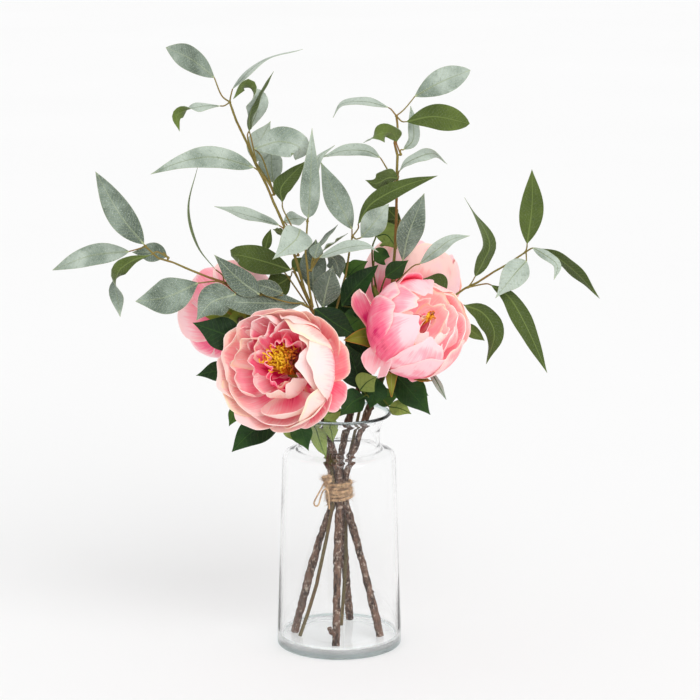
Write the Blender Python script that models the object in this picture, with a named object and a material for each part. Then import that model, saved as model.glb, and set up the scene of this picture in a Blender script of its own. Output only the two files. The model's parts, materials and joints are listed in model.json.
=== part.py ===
"""Silk peonies and eucalyptus, hand-tied with jute twine, standing in a clear glass bottle vase.

Lengths in this file are millimetres until MM turns them into metres. The origin is the middle of the
vase's foot, on the surface it stands on: +X is the arrangement's right, +Y its back and +Z up.
"""

import math

import bmesh
import bpy
from mathutils import Matrix, Vector

MM = 0.001
GAP = 0.3

# Vase
FOOT_RADIUS = 63.5
SHOULDER_RADIUS = 57.0
NECK_RADIUS = 41.0
RIM_RADIUS = 52.5
VASE_HEIGHT = 241.0
SHOULDER_HEIGHT = 190.0
WALL = 3.0
FLOOR = 8.0
VASE_SIDES = 36

# Stems
PEONY_STEM_RADIUS = 3.5
SPRAY_STEM_RADIUS = 1.9
SIDE_STEM_RADIUS = 1.3
TWIG_RADIUS = 0.9
JOINT_RADIUS = 1.9
STEM_SIDES = 6

# Twine
TIE_HEIGHT = 160.0
TIE_WIDTH = 21.0
TIE_OUTER_RADIUS = 12.9
TIE_INNER_RADIUS = 10.8
TWINE_RADIUS = 0.9

# Fabric pieces
LEAF_THICKNESS = 1.0
BLADE_RINGS = 5
PETAL_THICKNESS = 1.2
BLOOM_SIDES = 20
BOSS = 9.0

for thing in list(bpy.data.objects):
    bpy.data.objects.remove(thing, do_unlink=True)


# ---------------------------------------------------------------- materials and objects


def finish(name, colour, roughness, metallic=0.0, clear=0.0):
    """A Principled material with one colour."""
    material = bpy.data.materials.new(name)
    material.use_nodes = True
    shader = material.node_tree.nodes["Principled BSDF"]
    shader.inputs["Base Color"].default_value = (*colour, 1.0)
    shader.inputs["Roughness"].default_value = roughness
    shader.inputs["Metallic"].default_value = metallic
    shader.inputs["Transmission Weight"].default_value = clear
    return material


def add(name, rings, colour, roughness=0.7, clear=0.0, smooth=True):
    """One closed solid from rings of points: a ring of one point is a pole, the rest have equal counts."""
    model = bmesh.new()
    rows = [[model.verts.new(Vector(p) * MM) for p in ring] for ring in rings]
    for low, high in zip(rows, rows[1:]):
        count = max(len(low), len(high))
        for i in range(count):
            j = (i + 1) % count
            corners = [low[i % len(low)], low[j % len(low)], high[j % len(high)], high[i % len(high)]]
            model.faces.new(list(dict.fromkeys(corners)))
    for row, turned in ((rows[0], True), (rows[-1], False)):
        if len(row) > 1:
            model.faces.new(row[::-1] if turned else row)
    bmesh.ops.triangulate(model, faces=[f for f in model.faces if len(f.verts) > 4])
    bmesh.ops.recalc_face_normals(model, faces=model.faces)
    mesh = bpy.data.meshes.new(name)
    model.to_mesh(mesh)
    model.free()
    if smooth:
        mesh.shade_smooth()
        mesh.set_sharp_from_angle(angle=math.radians(50))
    item = bpy.data.objects.new(name, mesh)
    bpy.context.scene.collection.objects.link(item)
    item.data.materials.append(finish(name, colour, roughness, clear=clear))
    return item


def join(body, *others):
    """Union the other solids into the body and keep them as hidden guides."""
    for other in others:
        union = body.modifiers.new(f"join {other.name}", "BOOLEAN")
        union.operation = "UNION"
        union.solver = "EXACT"
        union.object = other
        other.hide_render = True
        other.display_type = "WIRE"
    return body


# ---------------------------------------------------------------- curves and sections


def smooth_line(points, steps):
    """A smooth curve through the points, with the given number of steps between neighbours."""
    points = [Vector(p) for p in points]
    ends = [2 * points[0] - points[1], *points, 2 * points[-1] - points[-2]]
    line = []
    for a, b, c, d in zip(ends, ends[1:], ends[2:], ends[3:]):
        for k in range(steps):
            t = k / steps
            line.append(
                0.5 * (2 * b + (c - a) * t + (2 * a - 5 * b + 4 * c - d) * t**2
                       + (3 * b - a - 3 * c + d) * t**3)
            )
    return [*line, points[-1]]


def at(line, share):
    """The point and direction at a share of a line's length."""
    lengths = [(q - p).length for p, q in zip(line, line[1:])]
    target = share * sum(lengths)
    for p, q, length in zip(line, line[1:], lengths):
        if target <= length:
            return p.lerp(q, target / length), (q - p).normalized()
        target -= length
    return line[-1].copy(), (line[-1] - line[-2]).normalized()


def directions(line):
    """The direction of a line at each of its points."""
    last = len(line) - 1
    return [(line[min(i + 1, last)] - line[max(i - 1, 0)]).normalized() for i in range(last + 1)]


def square_to(vector, direction):
    """The part of a vector that is square to a direction, as a unit vector."""
    flat = Vector(vector) - Vector(vector).dot(direction) * direction
    return flat.normalized()


def tube(name, line, radius, colour, roughness=0.8, sides=STEM_SIDES, tip_radius=None):
    """A round rod along a line, with rounded ends; it tapers when a tip radius is given."""
    tip_radius = radius if tip_radius is None else tip_radius
    start, end = directions(line)[0], directions(line)[-1]
    first, last = line[0] + start * 0.5 * radius, line[-1] - end * 0.5 * tip_radius
    line = [line[0], first, *line[1:-1], last, line[-1]]
    ways = directions(line)
    ways[0], ways[-1] = start, end
    side = square_to((0.3, 1.0, 0.1), ways[0])
    rings = []
    for i, (centre, way) in enumerate(zip(line, ways)):
        side = square_to(side, way)
        other = way.cross(side)
        size = radius + (tip_radius - radius) * i / (len(line) - 1)
        if i in (0, len(line) - 1):
            size *= 0.6
        turns = [2 * math.pi * k / sides for k in range(sides)]
        rings.append([centre + (side * math.cos(a) + other * math.sin(a)) * size for a in turns])
    return add(name, rings, colour, roughness)


def turned(name, profile, sides, colour, roughness=0.6, clear=0.0, frame=None, shape=None):
    """A closed profile of (radius, height) points turned about an axis; radius 0 is a pole."""
    frame = frame or Matrix.Identity(4)
    rings = []
    for row, (radius, height) in enumerate(profile):
        ring = []
        for k in range(1 if radius == 0 else sides):
            angle = 2 * math.pi * k / sides
            out, up = shape(row, radius, height, angle) if shape else (radius, height)
            ring.append(frame @ Vector((out * math.cos(angle), out * math.sin(angle), up)))
        rings.append(ring)
    return add(name, rings, colour, roughness, clear)


def axis_frame(origin, axis):
    """A frame at the origin whose Z runs along the axis."""
    return Matrix.Translation(Vector(origin)) @ Vector(axis).to_track_quat("Z", "Y").to_matrix().to_4x4()


# ---------------------------------------------------------------- vase


def build_vase():
    """A bottle vase: thick flat foot, straight body, flat shoulder and flared mouth."""
    heel, lip = 5.0, 1.5
    outside = [(0, 0), (FOOT_RADIUS - 9, 0)]
    outside += [
        (FOOT_RADIUS - heel + heel * math.sin(a), heel - heel * math.cos(a))
        for a in (math.radians(30), math.radians(60), math.radians(90))
    ]
    outside += [(FOOT_RADIUS - 3.2, 95), (SHOULDER_RADIUS, SHOULDER_HEIGHT)]
    outside += [(SHOULDER_RADIUS - 2.2, 196), (SHOULDER_RADIUS - 7, 199.6), (46, 202.0), (42.2, 207)]
    outside += [(NECK_RADIUS, 214), (43.0, 226), (48.5, 235.5), (RIM_RADIUS, 239)]
    mouth = [(RIM_RADIUS - lip, VASE_HEIGHT), (RIM_RADIUS - 2 * lip - 1, 239.5)]
    inside = [(45.2, 235), (40.2, 226), (NECK_RADIUS - WALL, 214), (39.4, 206), (44, 198.9)]
    inside += [(SHOULDER_RADIUS - 7.6, 196.4), (SHOULDER_RADIUS - WALL, 189)]
    inside += [(FOOT_RADIUS - 3.2 - WALL, 95), (FOOT_RADIUS - WALL - 0.2, 16)]
    inside += [(FOOT_RADIUS - 6, 10.5), (FOOT_RADIUS - 10, FLOOR), (0, FLOOR)]
    turned("vase", outside + mouth + inside, VASE_SIDES, (0.86, 0.93, 0.90), 0.03, clear=1.0)


# ---------------------------------------------------------------- stems

BARK = (0.16, 0.10, 0.07)
GREEN_BARK = (0.24, 0.22, 0.10)


def at_tie(across, back):
    """A stem's upright run through the tie."""
    return [(across, back, TIE_HEIGHT + rise) for rise in (-12, 0, 12)]


PEONY_STEMS = {
    "front": [(-3, -46, 9), (-2, -24, 80), *at_tie(0, -6), (-7, -13, 208), (-18, -20, 246),
              (-29, -20, 268)],
    "right": [(42, -15, 9), (21, -7, 95), *at_tie(6, 0), (17, -4, 208), (30, -5, 245),
              (43, -4, 278)],
    "left": [(-46, 0, 9), (-24, 0, 94), *at_tie(-6, 0), (-18, 5, 208), (-38, 8, 248),
             (-64, -8, 290), (-83, -25, 314)],
    "back": [(11, 41, 9), (5, 22, 88), *at_tie(0, 6), (5, 17, 208), (17, 27, 250),
             (37, 32, 293)],
}

SPRAY_STEMS = {
    "eucalyptus_stem_left": (SPRAY_STEM_RADIUS, 1.1, [
        (-40, -14, 9), (-23, -12, 63), *at_tie(-6, -6), (-10, -2, 206), (-12, 0, 253),
        (-17, -4, 305), (-26, -6, 344), (-35, -2, 367), (-42, 1, 393), (-55, 5, 430), (-65, 8, 452),
        (-72, 10, 469), (-83, 12, 490), (-91, 14, 510), (-101, 15, 531), (-107, 16, 548)]),
    "eucalyptus_stem_right": (SPRAY_STEM_RADIUS, 1.1, [
        (2, 20, 9), (7, 9, 90), *at_tie(6, 6), (14, 12, 208), (27, 8, 268), (42, 5, 325),
        (53, 1, 372), (57, 5, 438), (57, 8, 475), (58, 9, 498), (55, 10, 510), (58, 10, 524),
        (57, 10, 535)]),
    "eucalyptus_shoot_centre": (SIDE_STEM_RADIUS, 0.9, [
        (-26, -11, 349), (-30, -14, 372), (-31, -15, 389), (-33, -15, 405), (-31, -16, 434)]),
    "eucalyptus_shoot_inner": (SIDE_STEM_RADIUS, 0.9, [
        (-14.4, -3.2, 304), (-3, 0, 344), (7, -3, 382), (11, -6, 408), (13, -8, 418)]),
    "eucalyptus_branch_left": (SIDE_STEM_RADIUS, 0.9, [
        (-30, -9, 349), (-53, -20, 362), (-83, -26, 367), (-106, -28, 375), (-128, -27, 382),
        (-146, -25, 389), (-163, -22, 396), (-178, -20, 400), (-189, -18, 410)]),
    "eucalyptus_branch_right": (SIDE_STEM_RADIUS, 0.9, [
        (45, 5.7, 327.7), (64, 8, 333), (87, 7, 340), (111, 0, 356), (125, -5, 367), (138, -8, 374),
        (153, -8, 384), (167, -8, 392), (183, -8, 403)]),
}


def build_stems():
    """The four bark-covered peony stems and the eucalyptus stems with their side shoots."""
    lines = {}
    for name, route in PEONY_STEMS.items():
        bloom, points = BLOOMS[name], list(route)
        points += [bloom["origin"] - bloom["axis"] * (BOSS + back) for back in (14, 0.6)]
        lines[name] = smooth_line(points, 2)
        tube(f"peony_stem_{name}", lines[name], PEONY_STEM_RADIUS, BARK, 0.9)
    for name, (radius, tip, points) in SPRAY_STEMS.items():
        lines[name] = smooth_line(points, 2 if radius == SPRAY_STEM_RADIUS else 1)
        tube(name, lines[name], radius, GREEN_BARK, 0.8, tip_radius=tip)
    return lines


# ---------------------------------------------------------------- leaves

FRONT = (0, -1, 0.1)
SAGE = (0.33, 0.42, 0.36)
OLIVE = (0.13, 0.20, 0.06)
DARK = (0.03, 0.09, 0.02)

# Each spray is one node: the stem that it is pinned to, the share of that stem's length where the pin
# is, the side of the stem that it is on (None at a stem's end), its colour and its leaves. A leaf is (twig
# points, midrib points from base to tip, width, the way its upper face looks, fold along the midrib in
# degrees).
SPRAYS = {
    "sprig_crown_left": ("eucalyptus_stem_left", 1.0, None, SAGE, [
        ([(-116, 17, 557)], [(-123, 20, 574), (-145, 0, 594), (-167, -25, 607)], 25, (0.2, -1, 0.3), 10),
        ([(-107, 17, 555)], [(-105, 18, 563), (-76, 28, 589), (-36, 45, 600)], 22, (-0.4, -0.1, 1), 10),
        ([(-113, 12, 547)], [(-117, 10, 547), (-136, 2, 547), (-158, -6, 540), (-156, -10, 524)], 18,
         (-0.1, -0.5, 1), 10)]),
    "sprig_upper_left": ("eucalyptus_stem_left", 0.885, (0.3, -1, 0), SAGE, [
        ([(-90, 9, 515)], [(-88, 8, 524), (-80, 2, 548), (-90, -6, 570), (-103, -14, 556)], 25,
         (0.3, -1, 0.1), 8),
        ([(-86, 4, 514)], [(-88, -5, 524), (-85, -4, 546), (-64, 10, 581)], 17, (0.9, 0.5, 0.1), 12)]),
    "sprig_middle_left": ("eucalyptus_stem_left", 0.825, (1, -0.2, 0), SAGE, [
        ([(-67, 15, 467), (-76, 19, 480)], [(-83, 22, 490), (-78, 26, 510), (-68, 30, 530)], 26, FRONT, 8),
        ([(-75, 8, 494)], [(-83, -2, 506), (-58, -9, 514), (-38, -10, 508), (-43, -2, 495)], 30,
         (0.1, -1, 0.3), 8),
        ([(-64, 14, 463)], [(-65, 18, 470), (-67, 21, 486), (-67, 30, 508)], 26, (-0.3, -1, 0.1), 10),
        ([(-69, 5, 470), (-78, 4, 482)],
         [(-84, 3, 487), (-122, -4, 498), (-154, -8, 494), (-185, -12, 482)], 23,
         (0, -0.9, 0.5), 8)]),
    "sprig_lower_left": ("eucalyptus_stem_left", 0.71, (1, 0, 0.3), SAGE, [
        ([(-45, 1, 424), (-55, 1, 445)], [(-56, 0, 453), (-56, -1, 469), (-33, 13, 492)], 22,
         (0.6, 0.8, -0.3), 12),
        ([(-44, -4, 411), (-54, -4, 426)], [(-59, -3, 430), (-88, 4, 438), (-124, 12, 447)], 20,
         (0, -0.4, 1), 10),
        ([(-40, -6, 420)], [(-38, -16, 428), (-43, -38, 420), (-64, -58, 405)], 30, (0.3, -0.8, 0.6), 8),
        ([(-44, 10, 415), (-52, 14, 428)], [(-55, 17, 431), (-45, 22, 433), (-32, 32, 431)], 16,
         (0, -0.7, 0.7), 8),
        ([(-44, 10, 410), (-50, 12, 418)], [(-53, 13, 421), (-59, 15, 421), (-66, 18, 423)], 14,
         (0, 0.6, 0.6), 8)]),
    "sprig_base_left": ("eucalyptus_stem_left", 0.60, (0, 1, 0), SAGE, [
        ([(-44, 2, 383)], [(-48, 0, 385), (-76, -6, 395), (-102, -12, 402), (-100, -20, 396)], 28,
         (0, 1, -0.3), 8),
        ([(-58, 10, 386)], [(-74, 10, 402), (-71, 12, 414), (-68, 14, 424)], 10, (0.2, 1, 0), 6),
        ([(-44, 7, 380)], [(-48, 9, 377), (-61, 7, 369), (-76, 3, 365)], 24, (0, 1, -0.1), 8),
        ([(-44, 5, 383)], [(-46, 6, 384), (-40, 11, 389), (-33, 15, 396)], 16, (0, 1, 0), 6)]),
    "sprig_crown_centre": ("eucalyptus_shoot_centre", 1.0, None, SAGE, [
        ([], [(-30, -19, 440), (-28, -26, 467), (-26, -14, 528)], 21, FRONT, 12),
        ([(-28, -10, 451)], [(-25, 2, 465), (-21, 16, 493), (-4, 30, 506)], 10, (-0.3, -0.3, 1), 8)]),
    "sprig_middle_centre": ("eucalyptus_shoot_centre", 0.45, (1, -0.2, 0), SAGE, [
        ([(-24, -18, 397)], [(-19, -22, 401), (6, -28, 411), (27, -26, 413), (39, -20, 406)], 20,
         (0, -0.5, 0.9), 8),
        ([(-18, -12, 401)], [(-11, -9, 402), (-3, -8, 395), (1, -6, 377)], 20, (-0.2, -0.8, -0.5), 10),
        ([(-26, -8, 398)], [(-21, -4, 407), (-12, 2, 417), (-1, 10, 429)], 18, (-1, -0.4, 0.3), 10),
        ([(-24, -6, 399)], [(-18, -2, 403), (-5, 3, 411), (9, 6, 421)], 20, (-0.2, 0.2, 1), 10),
        ([(-25, -12, 393)], [(-24, -9, 398), (-22, -6, 406), (-19, -4, 414)], 14, FRONT, 6)]),
    "sprig_base_centre": ("eucalyptus_stem_left", 0.575, (1, -0.3, 0), SAGE, [
        ([(-20, -1, 344), (-23, 3, 353)], [(-25, 5, 360), (-26, 7, 385), (-23, 12, 414)], 25, FRONT, 8),
        ([(-17, -10, 338)], [(-16, -12, 349), (-12, -14, 369), (-6, -16, 392)], 27, (-0.1, -1, 0.1), 8)]),
    "sprig_inner": ("eucalyptus_shoot_inner", 1.0, None, SAGE, [
        ([(13, -4, 421)], [(13, -1, 426), (-2, 6, 456), (-18, 14, 491)], 25, (0.2, -1, 0.1), 8),
        ([(19, -10, 428)], [(19, -12, 433), (33, -14, 454), (64, -16, 471), (97, -22, 482)], 24,
         (-0.2, 0.8, -0.6), 8),
        ([(17, -13, 418)], [(22, -17, 420), (35, -22, 436), (49, -22, 454)], 25, (-0.1, -1, 0.1), 8)]),
    "sprig_tip_left": ("eucalyptus_branch_left", 1.0, None, SAGE, [
        ([], [(-192, -20, 414), (-214, -24, 443), (-237, -30, 487)], 27, (0.2, -1, 0.2), 8),
        ([(-197, -17, 409)], [(-207, -16, 406), (-246, -12, 401), (-284, -8, 386)], 22, (0, -1, 0.4), 8)]),
    "sprig_outer_left": ("eucalyptus_branch_left", 0.86, (0, 0, 1), SAGE, [
        ([(-178, -25, 407)], [(-184, -30, 405), (-204, -36, 399), (-218, -40, 384), (-215, -36, 344)], 22,
         (-0.5, -0.7, 0.5), 10),
        ([(-173, -16, 405)], [(-170, -10, 400), (-182, -4, 403), (-206, 4, 402)], 20, (0, -0.9, 0.3), 8)]),
    "sprig_hanging_left": ("eucalyptus_branch_left", 0.52, (0, -1, 0), SAGE, [
        ([(-122, -33, 379)], [(-138, -37, 378), (-169, -42, 365), (-199, -44, 361)], 36, (0, -1, 0.3), 8),
        ([(-114, -29, 384)], [(-121, -29, 390), (-138, -24, 413), (-147, -16, 450), (-139, -6, 488)], 15,
         (-1, 0.1, 0.2), 12),
        ([(-104, -33, 370)], [(-101, -39, 367), (-124, -48, 361), (-139, -54, 344)], 33,
         (0.1, -1, 0.2), 8)]),
    "sprig_shaded_left": ("eucalyptus_branch_left", 0.30, (0, -1, -0.2), SAGE, [
        ([(-77, -30, 364)], [(-78, -33, 366), (-98, -34, 381), (-122, -36, 406)], 22, (0.2, -1, 0.1), 8),
        ([(-66, -26, 364)], [(-55, -26, 366), (-72, -29, 373), (-88, -31, 377)], 16, FRONT, 8),
        ([(-50, -27, 357)], [(-38, -24, 353), (-66, -33, 351), (-97, -42, 356), (-120, -48, 361)], 24,
         (0.1, -0.9, 0.5), 8)]),
    "sprig_crown_right": ("eucalyptus_stem_right", 1.0, None, SAGE, [
        ([(65, 12, 544)], [(75, 14, 556), (101, 18, 570), (130, 24, 581)], 26, (0.1, -1, 0.2), 8),
        ([(62, 8, 532)], [(67, 5, 532), (94, -4, 538), (128, -14, 532)], 26, (0, 1, -0.1), 8),
        ([(52, 12, 543)], [(49, 14, 545), (27, 18, 550), (4, 22, 548), (-6, 24, 534)], 16,
         (0, -0.4, 1), 10)]),
    "sprig_upper_right": ("eucalyptus_stem_right", 0.93, (1, 0, 0), SAGE, [
        ([(57, 5, 510)], [(57, 1, 513), (53, -8, 522), (40, -14, 522), (24, -12, 513)], 20,
         (-0.1, 0.5, 0.9), 10),
        ([(61, 13, 503)], [(64, 15, 503), (74, 19, 515), (71, 22, 546)], 14, (0.5, -0.8, 0), 10)]),
    "sprig_middle_right": ("eucalyptus_stem_right", 0.875, (0, -1, 0), SAGE, [
        ([(59, 3, 482)], [(60, 0, 484), (68, -6, 493), (92, -14, 503), (106, -20, 493)], 14,
         (0, -0.6, 0.7), 8),
        ([(46, 6, 488)], [(41, 8, 496), (27, 12, 502), (6, 16, 502), (-17, 20, 495)], 16,
         (0, -0.7, 0.8), 8),
        ([(59, 2, 478)], [(58, -3, 477), (48, -9, 478), (37, -11, 473), (26, -10, 476)], 18,
         (0, 0.9, 0.3), 10)]),
    "sprig_lower_right": ("eucalyptus_stem_right", 0.76, (0, 1, 0), SAGE, [
        ([(57, 11, 434)], [(57, 14, 435), (53, 17, 439), (46, 20, 446)], 12, (0, 1, 0), 6),
        ([(60, 13, 430)], [(62, 18, 432), (54, 24, 432), (45, 28, 431)], 14, (0, 1, 0.1), 6)]),
    "sprig_base_right": ("eucalyptus_stem_right", 0.69, (0.4, -1, 0), SAGE, [
        ([(61, -8, 392)], [(63, -12, 396), (68, -14, 421), (76, -15, 443), (84, -16, 464)], 27,
         (0.1, -1, 0), 22),
        ([(72, -14, 390)], [(80, -18, 394), (96, -22, 408), (111, -22, 419), (129, -18, 422)], 15,
         (0, -0.8, 0.7), 8)]),
    "sprig_tip_right": ("eucalyptus_branch_right", 1.0, None, SAGE, [
        ([(186, -8, 409)], [(186, -10, 413), (190, -14, 451), (189, -20, 488)], 24, (0, 1, 0), 8),
        ([(191, -8, 408)], [(199, -11, 408), (220, -16, 397), (239, -22, 381), (257, -28, 361)], 18,
         (0.4, 0.7, 0.5), 10),
        ([(188, -12, 407)], [(191, -18, 410), (203, -28, 404), (214, -34, 395), (211, -36, 381)], 13,
         (0.2, -0.6, 0.8), 8),
        ([(185, -14, 403)], [(185, -18, 397), (172, -26, 384), (154, -32, 362)], 26, FRONT, 8)]),
    "sprig_middle_right_branch": ("eucalyptus_branch_right", 0.60, (0, -1, 0.1), SAGE, [
        ([(132, -8, 374)], [(135, -10, 380), (143, -12, 396), (148, -12, 417), (124, -4, 458)], 20,
         (-0.7, 0.7, 0.1), 12),
        ([(145, -12, 373)], [(151, -14, 372), (169, -20, 360), (187, -26, 329), (206, -32, 287)], 20,
         (-0.6, 0.8, 0.2), 10)]),
    "sprig_inner_right_branch": ("eucalyptus_branch_right", 0.44, (0, -1, -0.3), SAGE, [
        ([(117, -4, 352)], [(125, -10, 351), (143, -16, 344), (154, -22, 325), (146, -28, 295)], 20,
         (-0.4, 0.9, 0.2), 10),
        ([(118, -3, 340)], [(123, -6, 331), (132, -10, 325), (145, -14, 316)], 13, (0, 1, 0), 8),
        ([(108, -2, 359)], [(102, 2, 360), (107, 0, 368), (117, -4, 377)], 15, (0, -1, 0.2), 8)]),
    "peony_leaves_front_low": ("front", 0.87, (-0.3, -1, 0), DARK, [
        ([(-50, -24, 266), (-88, -22, 256)], [(-96, -21, 253), (-103, -21, 244), (-110, -21, 230)], 10,
         (0, -1, 0.2), 6),
        ([(-46, -30, 257), (-60, -31, 244)], [(-70, -32, 236), (-87, -38, 227), (-102, -44, 213)], 26,
         (0.1, -1, 0.2), 8),
        ([(-36, -36, 256)], [(-40, -45, 243), (-34, -48, 229), (-29, -49, 214)], 17, (-0.3, -1, 0), 8),
        ([(-44, -36, 253)], [(-52, -40, 239), (-48, -40, 229), (-42, -42, 219)], 10, FRONT, 6)]),
    "peony_leaves_front_left": ("front", 0.93, (-1, 0.6, 0), DARK, [
        ([(-56, -20, 292)], [(-94, -34, 319), (-117, -44, 330), (-143, -50, 341)], 28, (0.1, -1, 0.2), 8),
        ([(-62, -18, 284)], [(-104, -28, 288), (-123, -34, 289), (-141, -40, 286)], 17,
         (0, -1, 0.2), 8)]),
    "peony_leaves_front_right": ("front", 0.80, (1, -0.3, 0), DARK, [
        ([(-13, -19, 300), (-22, -18, 330)], [(-24, -18, 349), (-7, -22, 337), (16, -26, 324)], 17,
         (0.2, -1, 0.3), 8),
        ([(-3, -23, 247)], [(3, -26, 248), (-10, -28, 245), (-22, -33, 244)], 12, (0, -1, 0.2), 6),
        ([(-14, -27, 244), (-24, -27, 243)], [(-28, -23, 238), (-26, -19, 222), (-22, -17, 206)], 9,
         (0.3, -1, 0), 6)]),
    "peony_leaves_right_low": ("right", 0.90, (0.2, -1, 0), DARK, [
        ([(48, -8, 284)], [(54, -11, 284), (68, -16, 269), (89, -24, 245)], 27, (0.1, -1, 0.2), 8),
        ([(56, -7, 280)], [(67, -4, 272), (79, 0, 265), (90, 4, 256)], 11, (0, -1, 0.3), 6),
        ([(42, -12, 262)], [(50, -16, 249), (61, -24, 249), (72, -30, 245)], 14, (0, -0.9, 0.5), 6),
        ([(43, -13, 280)], [(40, -16, 277), (39, -17, 267), (37, -17, 254)], 15, FRONT, 6),
        ([(64, -6, 288), (86, -14, 289)],
         [(97, -22, 284), (104, -32, 274), (112, -42, 263)], 11, FRONT, 8)]),
    "peony_leaves_right_inner": ("right", 0.80, (0, -1, 0), DARK, [
        ([(28, -20, 262)], [(23, -28, 261), (13, -36, 257), (3, -44, 247)], 24, (0.1, -1, 0.3), 8),
        ([(24, -14, 264)], [(22, -16, 270), (16, -18, 290), (9, -18, 308)], 20, FRONT, 8),
        ([(26, -20, 264)], [(21, -24, 268), (28, -28, 277), (38, -30, 283)], 18, FRONT, 6),
        ([(40, -9, 253), (37, 6, 250)], [(34, 14, 251), (46, 20, 251), (62, 26, 252)], 15,
         (0, -1, 0.3), 6)]),
    "peony_leaves_back_low": ("back", 0.93, (-0.5, -1, 0), DARK, [
        ([(38, 16, 340), (42, -4, 366)], [(46, -10, 379), (57, -12, 388), (69, -13, 397)], 14, FRONT, 8),
        ([(24, 10, 340)], [(12, -6, 360), (22, -9, 373), (38, -11, 388)], 17, FRONT, 8),
        ([(28, 10, 318)], [(23, -2, 322), (9, -6, 332), (-5, -4, 341)], 19, FRONT, 8)]),
    "peony_leaves_back_high": ("back", 0.99, (-1, -0.4, 0), DARK, [
        ([(38, 22, 360), (33, 16, 400)], [(37, 18, 416), (48, 19, 417), (58, 17, 403)], 20, FRONT, 6),
        ([(28, 20, 350), (16, 10, 374)], [(13, 8, 380), (19, 7, 387), (28, 6, 380)], 16, FRONT, 6),
        ([(34, 18, 360)], [(35, 8, 393), (44, 10, 398), (51, 12, 396)], 14, FRONT, 6)]),
}


def leaf(name, twig, midrib, width, face, fold, colour):
    """A twig that runs into a blade: four-cornered rings with a thin lens section and a pointed tip."""
    stalk = [Vector(p) for p in twig]
    line = smooth_line(midrib, BLADE_RINGS)
    blade = [at(line, k / BLADE_RINGS)[0] for k in range(BLADE_RINGS + 1)]
    line = [*stalk, *blade]
    ways = directions(line)
    normal = square_to(face, (blade[-1] - blade[0]).normalized())
    rings = []
    for i, (centre, way) in enumerate(zip(line, ways)):
        normal = square_to(normal, way)
        side = way.cross(normal)
        share = (i - len(stalk)) / BLADE_RINGS
        half = thick = TWIG_RADIUS
        lift = 0.0
        if 0 < share < 1:
            half = max(TWIG_RADIUS, 0.5 * width * math.sin(math.pi * share**0.8) ** 0.75)
            thick = LEAF_THICKNESS / 2
            lift = half * math.sin(math.radians(fold))
        edge = normal * lift
        rings.append(
            [centre - side * half + edge, centre + normal * thick, centre + side * half + edge,
             centre - normal * thick]
        )
    rings[-1] = [line[-1]]
    return add(name, rings, colour, 0.75, smooth=False)


def joint(name, centre, colour):
    """The small moulded knuckle where a spray's twigs meet."""
    bpy.ops.mesh.primitive_ico_sphere_add(
        subdivisions=1, radius=JOINT_RADIUS * MM, location=centre * MM)
    item = bpy.context.object
    item.name = item.data.name = name
    item.data.materials.append(finish(name, colour, 0.7))
    return item


def build_sprays(lines):
    """Every spray of leaves, its knuckle a small gap away from the stem that carries it."""
    for name, (stem, share, side, colour, leaves) in SPRAYS.items():
        point, way = at(lines[stem], share)
        base, tip = SPRAY_STEMS[stem][:2] if stem in SPRAY_STEMS else (PEONY_STEM_RADIUS, PEONY_STEM_RADIUS)
        away = square_to(side, way) if side else way
        clear = base + (tip - base) * share if side else 0.0
        centre = point + away * (clear + GAP + JOINT_RADIUS)
        body = joint(name, centre, colour)
        parts = [
            leaf(f"{name}_leaf_{i}", [centre, *twig], midrib, width, face, fold, colour)
            for i, (twig, midrib, width, face, fold) in enumerate(leaves, 1)
        ]
        join(body, *parts)


# ---------------------------------------------------------------- blooms

PINK = (0.85, 0.42, 0.45)
PALE = (0.92, 0.66, 0.62)
DEEP = (0.75, 0.20, 0.32)
POLLEN = (0.85, 0.50, 0.05)
SEPAL = (0.30, 0.32, 0.05)

# Whorls are (radius, height) points from the base of the bloom along its axis to the petals' edge. The
# first point's height comes from how the whorls stack.
OPEN_BLOOM = {
    "outer_petals": [(8, 0), (30, 4.5), (50, 15), (60, 30), (63, 46)],
    "cup_petals": [(8, 0), (26, 8.5), (41, 20), (47, 38), (44, 55)],
    "heart_petals": [(7, 0), (18, 11.5), (27, 24), (29, 38), (26, 50)],
}
GLOBE_BLOOM = {
    "outer_petals": [(9, 0), (34, 9), (48, 27), (52, 50), (46, 76)],
    "cup_petals": [(9, 0), (29, 12.5), (42, 31), (45, 54), (37, 80)],
    "heart_petals": [(8, 0), (21, 14.5), (31, 32), (33, 52), (24, 72)],
}
STAMENS = {"open": (16, 34), "globe": (11, 44)}


def stacked(profile, size, level):
    """A whorl's profile at its real size, its base one petal and a gap above the whorl below it."""
    base = (profile[0][0] * size, 0.6 + level * (PETAL_THICKNESS + GAP))
    return [base, *((radius * size, height * size) for radius, height in profile[1:])]


def bloom(origin, axis, kind, size, whorls):
    """The facts of one bloom."""
    shape = OPEN_BLOOM if kind == "open" else GLOBE_BLOOM
    return {"origin": Vector(origin), "axis": Vector(axis).normalized(), "kind": kind, "size": size,
            "whorls": {key: stacked(shape[key], size, i) for i, key in enumerate(whorls)}}


BLOOMS = {
    "front": bloom((-43, -41, 289), (-0.32, -0.90, 0.27), "open", 1.0,
                   ("outer_petals", "cup_petals", "heart_petals")),
    "right": bloom((60, -14, 310), (0.40, -0.72, 0.57), "globe", 1.0,
                   ("outer_petals", "cup_petals", "heart_petals")),
    "left": bloom((-101, -9, 338), (-0.35, 0.90, 0.10), "open", 0.8,
                  ("outer_petals", "cup_petals")),
    "back": bloom((61, 36, 330), (0.30, 0.45, 0.84), "globe", 0.94,
                  ("outer_petals", "cup_petals")),
}

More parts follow.
